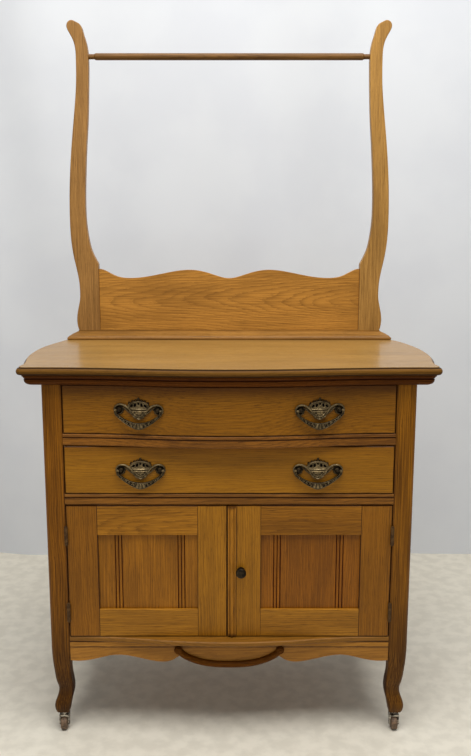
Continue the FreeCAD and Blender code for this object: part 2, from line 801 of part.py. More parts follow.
def make_upright(bar):
    """A lyre-shaped upright cut from one board, with a blind hole for the bar."""
    outline = [V(rack_half_width * share_x, rack_y, rack_base_top + rack_height * share_z)
               for share_x, share_z in outer_shares + inner_shares]
    step = V(splash_half_width, rack_y, rack_base_top + rack_height * rack_step_share)
    foot = V(splash_half_width, rack_y, rack_base_top)
    outline.append(step)
    board = board_from([curve(outline), line(step, foot), line(foot, outline[0])],
                       V(0, rack_thick, 0))
    waved = [edge for edge in board.Edges if edge.Curve.TypeId == "Part::GeomBSplineCurve"]
    return one_solid(board.makeFillet(rack_arris, waved).cut(bar))


# Drawers, each over a rail whose top is at z

def drawer_bottom(z, play):
    """The board in the grooves of a drawer's sides and front, grown by the play."""
    reach = drawer_half - drawer_side_thick + drawer_bottom_tongue + play
    z0 = z + slide_play + drawer_bottom_rise
    return block(-reach, reach, front + front_thick - drawer_bottom_tongue - play, drawer_rear,
                 z0, z0 + drawer_bottom_thick)


def drawer_side(z):
    """The right side with its dovetails, which widen towards the front."""
    inner = drawer_half - drawer_side_thick
    shoulder = front + front_thick
    z0 = z + slide_play
    side = block(inner, drawer_half, shoulder, drawer_rear, z0, z0 + drawer_side_height)
    pitch = drawer_side_height / dovetail_count
    for index in range(dovetail_count):
        middle = z0 + pitch * (index + 1 / 2)
        corners = [V(inner, shoulder, middle - dovetail_root / 2),
                   V(inner, shoulder, middle + dovetail_root / 2),
                   V(inner, shoulder - dovetail_lap, middle + dovetail_tip / 2),
                   V(inner, shoulder - dovetail_lap, middle - dovetail_tip / 2)]
        side = side.fuse(polygon_board(corners, V(drawer_side_thick, 0, 0)))
    return one_solid(side)


def drawer_back(z):
    """The board housed in the sides near their rear ends, standing on the bottom."""
    reach = drawer_half - drawer_side_thick + drawer_housing
    y1 = drawer_rear - drawer_back_inset
    z0 = z + slide_play + drawer_bottom_rise + drawer_bottom_thick
    z1 = z + slide_play + drawer_side_height - drawer_back_drop
    return block(-reach, reach, y1 - drawer_back_thick, y1, z0, z1)


def make_drawer(name, board, z, holes):
    """Save the wooden pieces of one drawer and give back its front before it is drilled."""
    side = drawer_side(z)
    groove = drawer_bottom(z, panel_play)
    rear = drawer_back(z)
    edges = [edge for edge in board.Edges
             if edge.BoundBox.YMax < front + front_arris and not is_along(edge, y_axis)
             and (edge.BoundBox.XLength > overrun or abs(edge.BoundBox.Center.x) > opening - overrun)]
    board = board.makeChamfer(front_arris, edges).cut(side).cut(mirrored(side)).cut(groove)
    side = one_solid(side.cut(groove).cut(rear))
    drilled = board
    for hole in holes:
        drilled = drilled.cut(hole)
    save(name + "_drawer_front", one_solid(drilled))
    save(name + "_drawer_sides", side, mirrored(side))
    save(name + "_drawer_back", rear)
    save(name + "_drawer_bottom", drawer_bottom(z, 0))
    return board


# Doors

def door_panel(sign, play):
    """The panel of one door with its tongues, grown by the play at its edges."""
    reach = panel_tongue + play
    y = front + door_panel_sink
    return block(sign * (panel_half_gap - reach), sign * (drawer_half - stile + reach),
                 y, y + panel_thick,
                 door_bottom + door_bottom_rail - reach, door_top - door_top_rail + reach)


def reeded_panel(sign):
    """A door panel with two groups of grooves down its face."""
    panel = door_panel(sign, 0)
    y = front + door_panel_sink
    z = panel.BoundBox.ZMin
    for middle in (panel_half_gap + reeds_from_inner, drawer_half - stile - reeds_from_outer):
        for index in range(reed_count):
            x = sign * middle + reed_pitch * (index - (reed_count - 1) / 2)
            corners = [V(x - reed_width / 2, y, z), V(x + reed_width / 2, y, z), V(x, y + reed_depth, z)]
            panel = panel.cut(polygon_board(corners, V(0, 0, panel.BoundBox.ZLength)))
    return one_solid(panel)


def eased(board, axis):
    """A board with its long front edges rounded a little."""
    edges = [edge for edge in board.Edges
             if edge.BoundBox.YMax < front + door_arris and is_along(edge, axis)]
    return board.makeFillet(door_arris, edges)


def make_door(sign, meeting_x, cutters):
    """The stiles and the rails of one door, mortised and grooved."""
    inner = sign * panel_half_gap
    outer = sign * (drawer_half - stile)
    rear = front + door_thick
    tenon_y = front + (door_thick - door_tenon_thick) / 2
    groove = door_panel(sign, panel_play)
    bottom_rail_top = door_bottom + door_bottom_rail
    top_rail_low = door_top - door_top_rail
    haunch = panel_tongue + panel_play
    rails = []
    for z0, z1, tenon_z0, tenon_z1 in (
            (door_bottom, bottom_rail_top, door_bottom + door_tenon_edge, bottom_rail_top - haunch),
            (top_rail_low, door_top, top_rail_low + haunch, door_top - door_tenon_edge)):
        tenon = block(inner - sign * door_tenon, outer + sign * door_tenon,
                      tenon_y, tenon_y + door_tenon_thick, tenon_z0, tenon_z1)
        rail = eased(block(inner, outer, front, rear, z0, z1), x_axis)
        rails.append(one_solid(rail.fuse(tenon).cut(groove)))
    stiles = []
    for x0, x1 in ((meeting_x, inner), (outer, sign * drawer_half)):
        piece = eased(block(x0, x1, front, rear, door_bottom, door_top), z_axis)
        for cutter in [groove] + rails + cutters:
            piece = piece.cut(cutter)
        stiles.append(one_solid(piece))
    return stiles, rails


def make_astragal():
    """A bead between two small flutes, glued along the meeting stile of the right door."""
    x = door_joint_x + running_gap / 2
    z = door_bottom + astragal_end_gap
    corners = [V(x + astragal_width * share_x, front - astragal_thick * share_y, z)
               for share_x, share_y in astragal_shares]
    return polygon_board(corners, V(0, 0, door_height - 2 * astragal_end_gap))


# Butt hinges, modelled for the right side

def hinge_leaf(plate, z, first):
    """A leaf with every other knuckle, from the first one up, bored for the pin."""
    pitch = hinge_height / knuckle_count
    bottom = z - hinge_height / 2
    leaf = plate
    for index in range(first, knuckle_count, 2):
        z0 = bottom + pitch * index + knuckle_gap / 2
        web = block(plate.BoundBox.XMin, plate.BoundBox.XMax, hinge_y, front,
                    z0, z0 + pitch - knuckle_gap)
        leaf = leaf.fuse(web).fuse(rod(hinge_knuckle, pitch - knuckle_gap,
                                       V(hinge_x, hinge_y, z0), z_axis))
    bore = rod(hinge_pin + 2 * hinge_fit, hinge_height, V(hinge_x, hinge_y, bottom), z_axis)
    return one_solid(leaf.cut(bore))


def hinge_pin_at(z):
    """A pin with a button head at each end."""
    half = (hinge_height - knuckle_gap) / 2
    pin = rod(hinge_pin, 2 * half, V(hinge_x, hinge_y, z - half), z_axis)
    upper_head = rod(pin_head, pin_head_height, V(hinge_x, hinge_y, z + half), z_axis)
    lower_head = rod(pin_head, pin_head_height, V(hinge_x, hinge_y, z - half), -z_axis)
    return one_solid(pin.fuse(upper_head).fuse(lower_head))


# Knob, rosette and turn catch, modelled about the spindle and then moved to the door

def make_rosette():
    disc = rod(rosette_width, rosette_thick, origin, -y_axis)
    bore = rod(knob_spindle + 2 * knob_fit, rosette_thick, origin, -y_axis)
    return disc.cut(bore)


def make_knob():
    """A turned knob in one piece with its spindle, and the catch on the spindle's end."""
    base = rosette_thick + knob_fit
    run = knob_length - base
    start = V(0, -base, 0)
    tip = V(0, -knob_length, 0)
    points = [V(knob_width / 2 * share_r, -base - run * share_y, 0)
              for share_r, share_y in knob_shares]
    edges = [line(start, points[0]), curve(points + [tip], -y_axis, -x_axis), line(tip, start)]
    head = Part.Face(Part.Wire(edges)).revolve(origin, y_axis, 360)
    catch_y = door_thick + catch_gap
    spindle = rod(knob_spindle, base + catch_y + catch_thick, start, y_axis)
    catch = block(-catch_width / 2, catch_width / 2, catch_y, catch_y + catch_thick,
                  -catch_tail, catch_reach)
    corners = [edge for edge in catch.Edges if is_along(edge, y_axis)]
    catch = catch.makeFillet(catch_round, corners).cut(spindle)
    return one_solid(head.fuse(spindle)), one_solid(catch)


# Drawer pulls, modelled about the middle of the pivots with the wood behind y = 0

def make_pull_plate():
    """A pierced basket, two arms and two bosses with the posts that carry the bail."""
    half = basket_width / 2
    side = [V(half * share_x, pull_sink, basket_rise * share_z) for share_x, share_z in basket_shares]
    other_side = [V(-point.x, pull_sink, point.z) for point in reversed(side)]
    through = V(0, -plate_thick - pull_sink, 0)
    plate = board_from([curve(side, x_axis, -x_axis), curve(other_side, -x_axis, x_axis)], through)
    half_bore = pull_centres / 2
    plate = plate.fuse(block(-half_bore, half_bore, -plate_thick, pull_sink,
                             -pull_arm / 2, pull_arm / 2))
    for x in (-half_bore, half_bore):
        face = V(x, -plate_thick, 0)
        plate = plate.fuse(rod(pull_boss, plate_thick + pull_sink, V(x, pull_sink, 0), -y_axis))
        plate = plate.fuse(Part.makeCone(pull_boss / 2 - boss_rim, pull_post / 2 + boss_rim,
                                         boss_dome, face, -y_axis))
        plate = plate.fuse(rod(pull_post, pull_post_length - plate_thick, face, -y_axis))
        plate = plate.cut(rod(bolt_thick + 2 * bolt_fit, pull_sink + bolt_bite,
                              V(x, pull_sink, 0), -y_axis))
    for share_x, share_z in basket_hole_shares:
        plate = plate.cut(rod(basket_hole, plate_thick + pull_sink,
                              V(half * share_x, pull_sink, basket_rise * share_z), -y_axis))
    pivot = rod(bail_pin + 2 * bail_fit, 2 * pull_centres, V(-pull_centres, -bail_stand_off, 0), x_axis)
    return one_solid(plate.cut(pivot))


def make_bail():
    """A flat loop that hangs outside the posts on two pins pointing inwards."""
    ear_in = (pull_centres + pull_post) / 2 + bail_side_gap
    ear_out = ear_in + bail_ear
    y = -bail_stand_off - bail_thick / 2
    nose = bail_nose_rise - bail_drop
    right = [V(ear_out, y, -bail_ear_drop), V(ear_out, y, bail_ear_rise),
             V(ear_in, y, bail_ear_rise), V(ear_in, y, -bail_post_clearance),
             V(bail_shoulder, y, -bail_shoulder_drop)]
    left = [V(-point.x, y, point.z) for point in right]
    edges = []
    for side, sign in ((right, 1), (left, -1)):
        edges += [line(a, b) for a, b in zip(side, side[1:])]
        edges.append(arc(side[0], V(sign * bail_cheek, y, -bail_cheek_drop),
                         V(sign * bail_nose_half, y, nose)))
    edges += [arc(V(bail_nose_half, y, nose), V(0, y, -bail_drop), V(-bail_nose_half, y, nose)),
              arc(right[-1], V(0, y, -bail_inner_drop), left[-1])]
    loop = board_from(edges, V(0, bail_thick, 0))
    pivot = V(ear_in, -bail_stand_off, 0)
    pin = rod(bail_pin, bail_pin_length, pivot, -x_axis)
    return one_solid(loop.fuse(pin).fuse(mirrored(pin)))


def make_bolt(bore_x, place):
    """A slotted bolt from inside the drawer into a post, and the hole that it needs."""
    turn = math.radians(place[2])
    wood_y = front - place[1] + bore_x * math.sin(turn)
    seat = (front + front_thick - wood_y) / math.cos(turn) - bolt_seat
    shank = rod(bolt_thick, bolt_bite + seat, V(bore_x, -bolt_bite, 0), y_axis)
    head = rod(bolt_head, bolt_head_height, V(bore_x, seat, 0), y_axis)
    slot_y = seat + bolt_head_height - bolt_slot_depth
    slot = block(bore_x - bolt_head, bore_x + bolt_head, slot_y, slot_y + overrun,
                 -bolt_slot_width / 2, bolt_slot_width / 2)
    hole = rod(bolt_thick + 2 * bolt_hole_play, seat + 2 * overrun, V(bore_x, -overrun, 0), y_axis)
    counterbore = rod(bolt_head + 2 * bolt_hole_play, 2 * bolt_head_height, V(bore_x, seat, 0), y_axis)
    bolt = one_solid(shank.fuse(head).cut(slot))
    return on_drawer(bolt, place), on_drawer(hole.fuse(counterbore), place)


def on_drawer(shape, place):
    """A pull moved to its place on a drawer front and turned with the bow."""
    x, forward, turn, z = place
    placed = shape.copy()
    placed.rotate(origin, z_axis, turn)
    placed.translate(V(x, front - forward, z))
    return placed


# Castors, each under the foot of a leg at x and y

def castor_socket(x, y):
    """A flange under the foot with a closed sleeve in the leg."""
    flange = rod(socket_flange, socket_flange_thick, V(x, y, castor_height), -z_axis)
    sleeve = rod(socket_sleeve, socket_length, V(x, y, castor_height), z_axis)
    bore = rod(castor_stem + 2 * stem_fit, socket_flange_thick + castor_stem_length,
               V(x, y, castor_height - socket_flange_thick), z_axis)
    return one_solid(flange.fuse(sleeve).cut(bore))


def castor_wheel(x, y):
    """A wheel with rounded rims and a hub a little wider than the tread."""
    centre = V(x, y - castor_trail, wheel_diameter / 2)
    tread = rod(wheel_diameter, wheel_width, centre - x_axis * (wheel_width / 2), x_axis)
    tread = tread.makeFillet(wheel_round, [edge for edge in tread.Edges if edge.Closed])
    hub = rod(hub_diameter, hub_width, centre - x_axis * (hub_width / 2), x_axis)
    bore = rod(axle + 2 * axle_fit, hub_width, centre - x_axis * (hub_width / 2), x_axis)
    return one_solid(tread.fuse(hub).cut(bore))


def castor_fork():
    """A crown on a stem with two arms, and the riveted axle between the arms, at the origin."""
    axle_y = -castor_trail
    axle_z = wheel_diameter / 2
    arm_in = hub_width / 2 + fork_side_gap
    arm_out = arm_in + fork_thick
    crown_z = wheel_diameter + fork_crown_gap
    crown_front = axle_y - fork_arm_width / 2
    crown_back = castor_collar / 2
    fork = block(-arm_out, arm_out, crown_front, crown_back, crown_z, crown_z + fork_crown_height)
    for side_x in (-arm_out, arm_in):
        corners = [V(side_x, crown_front, axle_z), V(side_x, axle_y + fork_arm_width / 2, axle_z),
                   V(side_x, crown_back, crown_z), V(side_x, crown_back, crown_z + fork_crown_height),
                   V(side_x, crown_front, crown_z + fork_crown_height)]
        fork = fork.fuse(polygon_board(corners, V(fork_thick, 0, 0)))
        fork = fork.fuse(rod(fork_arm_width, fork_thick, V(side_x, axle_y, axle_z), x_axis))
    collar_z = crown_z + fork_crown_height
    collar_top = castor_height - socket_flange_thick - swivel_gap
    fork = fork.fuse(rod(castor_collar, collar_top - collar_z, V(0, 0, collar_z), z_axis))
    fork = fork.fuse(rod(castor_stem, castor_stem_length, V(0, 0, collar_top), z_axis))
    pin = rod(axle, 2 * arm_out, V(-arm_out, axle_y, axle_z), x_axis)
    near_head = rod(rivet_head, rivet_head_thick, V(arm_out, axle_y, axle_z), x_axis)
    far_head = rod(rivet_head, rivet_head_thick, V(-arm_out, axle_y, axle_z), -x_axis)
    rivet = one_solid(pin.fuse(near_head).fuse(far_head))
    return one_solid(fork.cut(rivet)), rivet


# Case

top_front_rail = tenoned(block(-opening, opening, front, rail_back, top_rail_bottom, top_under),
                         front_post_y, top_rail_bottom, top_under)
drawer_rail_upper = tenoned(make_upper_rail(), front_post_y, upper_rail_bottom, upper_rail_top)
drawer_rail_lower = tenoned(make_lower_rail(), front_post_y, lower_rail_bottom, lower_rail_top)
base_rail = tenoned(block(-opening, opening, front, rail_back, base_bottom, lip_bottom),
                    front_post_y, base_bottom, lip_bottom)
upper_side_rail, lower_side_rail = make_side_rails()
back_rail_y = back_panel_y - back_rail_thick
back_rails = []
for z0, z1 in ((base_bottom, base_bottom + back_rail_height), (top_rail_bottom, top_under)):
    rail = block(-opening, opening, back_rail_y, back_panel_y, z0, z1)
    back_rails.append(tenoned(rail, back_panel_y - back_rail_thick / 2, z0, z1))

front_leg = make_front_leg()
for rail in (top_front_rail, drawer_rail_upper, drawer_rail_lower, base_rail,
             upper_side_rail, lower_side_rail):
    front_leg = front_leg.cut(rail)
front_leg = one_solid(front_leg)
rear_leg = make_rear_leg()
for rail in (upper_side_rail, lower_side_rail, back_rails[0], back_rails[1]):
    rear_leg = rear_leg.cut(rail)
rear_leg = one_solid(rear_leg)

save("front_leg_right", front_leg)
save("front_leg_left", mirrored(front_leg))
save("rear_legs", rear_leg, mirrored(rear_leg))
save("side_rails", upper_side_rail, lower_side_rail,
     mirrored(upper_side_rail), mirrored(lower_side_rail))
save("side_panels", side_panel_slot(0), mirrored(side_panel_slot(0)))
save("back_rails", *back_rails)
save("back_panel", block(panel_play - opening - back_lap, opening + back_lap - panel_play,
                         back_panel_y, back, base_bottom, top_under))
save("top_front_rail", top_front_rail)
save("drawer_rail_upper", drawer_rail_upper)
save("drawer_rail_lower", drawer_rail_lower)
save("base_rail", base_rail)
save("bottom_board", make_bottom_board())
save("drawer_runners", *make_runners())
save("front_apron", make_apron(front_leg))
save("apron_scroll", one_solid(make_scroll().cut(base_rail)))

# Top and towel rack
save("top_board", make_top_board())
front_moulding, side_mouldings = make_bed_moulding()
save("bed_moulding", front_moulding, *side_mouldings)
towel_bar = make_bar()
upright = make_upright(towel_bar)
save("rack_base", make_rack_base())
save("splashboard", make_splashboard())
save("rack_upright_right", upright)
save("rack_upright_left", mirrored(upright))
save("towel_bar", towel_bar)

# Drawers with their pulls
bowed_front = bowed_board(upper_drawer_bottom, upper_drawer_bottom + upper_drawer_height,
                          front + front_thick)
bowed_front = bowed_front.common(block(-drawer_half, drawer_half, front - 2 * bow,
                                       front + front_thick, upper_drawer_bottom, top_height))
straight_front = block(-drawer_half, drawer_half, front, front + front_thick,
                       lower_drawer_bottom, lower_drawer_bottom + lower_drawer_height)
plate = make_pull_plate()
bail = make_bail()
upper_pull_z = upper_drawer_bottom + upper_drawer_height * pull_rise_share
lower_pull_z = lower_drawer_bottom + lower_drawer_height * pull_rise_share
forward, turn = bow_at(opening, pull_x)
upper_places = ((-pull_x, forward, -turn, upper_pull_z), (pull_x, forward, turn, upper_pull_z))
lower_places = ((-pull_x, 0, 0, lower_pull_z), (pull_x, 0, 0, lower_pull_z))
for name, board, rail_top, places in (("upper", one_solid(bowed_front), upper_rail_top, upper_places),
                                      ("lower", straight_front, lower_rail_top, lower_places)):
    bolts = [make_bolt(bore_x, place) for place in places
             for bore_x in (-pull_centres / 2, pull_centres / 2)]
    wood = make_drawer(name, board, rail_top, [hole for bolt, hole in bolts])
    save(name + "_pull_bolts", *[bolt for bolt, hole in bolts])
    save(name + "_pull_plates", *[one_solid(on_drawer(plate, place).cut(wood)) for place in places])
    for side_name, place in zip(("left", "right"), places):
        save("bail_" + name + "_" + side_name, on_drawer(bail, place))

# Doors with their hinges, astragal and knob
door_leaves = [door_leaf(z) for z in hinge_heights()]
spindle_hole = rod(knob_spindle + 2 * knob_fit, door_thick, V(knob_x, front, knob_z), y_axis)
right_stiles, right_rails = make_door(1, door_joint_x + running_gap / 2,
                                      door_leaves + [spindle_hole])
left_stiles, left_rails = make_door(-1, door_joint_x - running_gap / 2,
                                    [mirrored(leaf) for leaf in door_leaves])
for name, sign, stiles, rails in (("left", -1, left_stiles, left_rails),
                                  ("right", 1, right_stiles, right_rails)):
    save(name + "_door_stiles", *stiles)
    save(name + "_door_rails", *rails)
    save(name + "_door_panel", reeded_panel(sign))
save("door_astragal", make_astragal())

door_hinge_leaves = [hinge_leaf(door_leaf(z), z, 1) for z in hinge_heights()]
post_hinge_leaves = [hinge_leaf(post_leaf(z), z, 0) for z in hinge_heights()]
hinge_pins = [hinge_pin_at(z) for z in hinge_heights()]
save("right_door_hinge_leaves", *door_hinge_leaves)
save("left_door_hinge_leaves", *[mirrored(leaf) for leaf in door_hinge_leaves])
save("post_hinge_leaves", *post_hinge_leaves, *[mirrored(leaf) for leaf in post_hinge_leaves])
save("hinge_pins", *hinge_pins, *[mirrored(pin) for pin in hinge_pins])

knob_place = V(knob_x, front, knob_z)
save("door_knob", *[piece.translated(knob_place) for piece in make_knob()])
save("knob_plate", make_rosette().translated(knob_place))

# Castors
sockets = []
for name, x, y in (("front_left", -post_x, front_post_y), ("front_right", post_x, front_post_y),
                   ("rear_left", -rear_castor_x, rear_castor_y),
                   ("rear_right", rear_castor_x, rear_castor_y)):
    sockets.append(castor_socket(x, y))
    save("castor_fork_" + name, *[solid.translated(V(x, y, 0)) for solid in castor_fork()])
    save("castor_wheel_" + name, castor_wheel(x, y))
save("castor_sockets", *sockets)
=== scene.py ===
import math

import bmesh
import bpy
import numpy as np
from mathutils import Euler, Matrix, Vector


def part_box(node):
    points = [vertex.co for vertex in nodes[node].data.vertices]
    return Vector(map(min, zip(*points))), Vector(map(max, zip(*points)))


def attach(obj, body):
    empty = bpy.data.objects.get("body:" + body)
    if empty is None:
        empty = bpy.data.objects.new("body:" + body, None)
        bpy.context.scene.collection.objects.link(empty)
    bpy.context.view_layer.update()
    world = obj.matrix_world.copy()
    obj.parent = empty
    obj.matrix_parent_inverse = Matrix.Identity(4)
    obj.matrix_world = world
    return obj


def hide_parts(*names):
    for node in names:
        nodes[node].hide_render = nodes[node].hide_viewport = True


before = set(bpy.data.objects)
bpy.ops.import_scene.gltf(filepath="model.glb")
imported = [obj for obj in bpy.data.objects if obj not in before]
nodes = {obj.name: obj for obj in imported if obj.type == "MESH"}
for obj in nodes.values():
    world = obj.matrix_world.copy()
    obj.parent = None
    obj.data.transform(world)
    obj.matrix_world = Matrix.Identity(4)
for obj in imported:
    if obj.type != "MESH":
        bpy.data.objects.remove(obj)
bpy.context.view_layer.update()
print("frame loaded:", len(nodes), "nodes")

millimetre = 0.001


# Shader helpers: a socket with arithmetic, and a graph that makes and joins nodes

def operator(operation, reflected=False):
    def apply(self, other):
        values = (other, self) if reflected else (self, other)
        return self.graph.calc(operation, *values)

    return apply


class Wire:
    __add__ = __radd__ = operator("ADD")
    __sub__ = operator("SUBTRACT")
    __rsub__ = operator("SUBTRACT", reflected=True)
    __mul__ = __rmul__ = operator("MULTIPLY")
    __truediv__ = operator("DIVIDE")
    __rtruediv__ = operator("DIVIDE", reflected=True)
    __pow__ = operator("POWER")

    def __init__(self, graph, socket):
        self.graph = graph
        self.socket = socket

    def __neg__(self):
        return self * -1.0

    def __abs__(self):
        return self.graph.calc("ABSOLUTE", self)


class Graph:
    def __init__(self, name):
        self.material = bpy.data.materials.new(name)
        self.material.use_nodes = True
        self.tree = self.material.node_tree
        self.tree.nodes.clear()
        self.output = self.tree.nodes.new("ShaderNodeOutputMaterial").inputs[0]
        self.surface = self.tree.nodes.new("ShaderNodeBsdfPrincipled")
        self.tree.links.new(self.surface.outputs[0], self.output)

    def put(self, socket, value):
        if isinstance(value, Wire):
            self.tree.links.new(value.socket, socket)
        else:
            socket.default_value = value

    def add(self, kind, settings=None, values=None, output=0):
        node = self.tree.nodes.new(kind)
        for key, value in (settings or {}).items():
            setattr(node, key, value)
        for key, value in (values or {}).items():
            self.put(node.inputs[key], value)
        return Wire(self, node.outputs[output])

    def calc(self, operation, *values):
        return self.add("ShaderNodeMath", {"operation": operation}, dict(enumerate(values)))

    def clamp(self, value):
        return self.add("ShaderNodeMath", {"operation": "ADD", "use_clamp": True},
                        {0: value, 1: 0.0})

    def fold(self, operation, values):
        result = values[0]
        for value in values[1:]:
            result = self.calc(operation, result, value)
        return result

    def ramp(self, value, low, high, atLow=0.0, atHigh=1.0):
        return self.add("ShaderNodeMapRange", {"interpolation_type": "SMOOTHSTEP"},
                        {0: value, 1: low, 2: high, 3: atLow, 4: atHigh})

    def place(self):
        # the object's own coordinates, in millimetres
        coordinates = self.add("ShaderNodeTexCoord", output="Object")
        enlarged = self.add("ShaderNodeVectorMath", {"operation": "SCALE"},
                            {0: coordinates, 3: 1.0 / millimetre})
        node = self.tree.nodes.new("ShaderNodeSeparateXYZ")
        self.put(node.inputs[0], enlarged)
        return [Wire(self, socket) for socket in node.outputs]

    def join(self, x, y, z):
        return self.add("ShaderNodeCombineXYZ", None, {0: x, 1: y, 2: z})

    def noise(self, vector, detail, roughness=0.5):
        values = {"Vector": vector, "Scale": 1.0, "Detail": detail, "Roughness": roughness}
        return self.add("ShaderNodeTexNoise", None, values)

    def clouds(self, x, y, z, scale, detail):
        return self.noise(self.join(x * scale, y * scale, z * scale), detail)

    def mix(self, factor, first, second, blend="MIX"):
        return self.add("ShaderNodeMix", {"data_type": "RGBA", "blend_type": blend},
                        {0: factor, 6: first, 7: second}, 2)

    def bump(self, height, distance, strength):
        return self.add("ShaderNodeBump", None,
                        {"Height": height, "Distance": distance, "Strength": strength})

    def finish(self, values):
        for key, value in values.items():
            self.put(self.surface.inputs[key], value)
        return self.material


def tint(red, green, blue):
    linear = []
    for share in (red / 255.0, green / 255.0, blue / 255.0):
        linear.append(share / 12.92 if share <= 0.04045 else ((share + 0.055) / 1.055) ** 2.4)
    return (*linear, 1.0)


# Oak: rings round a pith beside the board, streaks, open pores and dark stain at the edges.
# Lengths are in millimetres. edge is (axes, width, share), each dark band (axis, place, width,
# share), grooves (y where they start, y where they are dark, share), shade (axis, darkest, plain,
# colour shares) and turn the corner of a mitre with its run. Some dark bands and their colour are
# painted shade, and shade darkens a piece along one axis, on the drawers as painted shadow.

oakLook = {
    "grain": "x", "seed": 0.0, "pith": (30.0, 70.0), "slope": 0.04, "ring": 3.4,
    "tone": (150, 98, 36), "contrast": 0.28, "ringShare": 0.45, "streakShare": 0.5,
    "poreShare": 0.6, "dash": 0.03, "stainAndShadeColour": (50, 16, 7), "edge": None, "darkBands": (),
    "grooves": None, "shade": None, "turn": None, "roughness": 0.44, "coat": 0.04,
    "coatRoughness": 0.22, "specular": 0.22,
}
# how fast each noise changes along and across the grain, per millimetre, and its detail
oakNoise = {
    "warp": (0.0035, 0.016, 2.0), "fine": (0.03, 0.3, 2.0), "pores": (0.11, 2.6, 1.0),
    "broad": (0.004, 0.02, 2.0), "streak": (0.008, 0.42, 3.0), "dash": (None, 0.7, 2.0),
}
# pairs are where a mark begins and where it is full; panelBack is where stained reeds stop
oakMarks = {
    "seedStep": 613.0, "warp": 26.0, "fine": 3.0, "ringStep": 0.37, "earlyWood": (0.0, 0.35),
    "pores": (0.54, 0.70), "bands": (0.36, 0.64), "dashes": (0.52, 0.74),
    "lineShares": (0.30, 0.25, 0.2), "blotch": 0.05, "sway": 1.5, "panelBack": (-165.6, -164.6),
    "bump": (0.00025, 0.6),
}


def scaled(colour, *shares):
    return (*[channel * share for channel, share in zip(colour, shares)], 1.0)


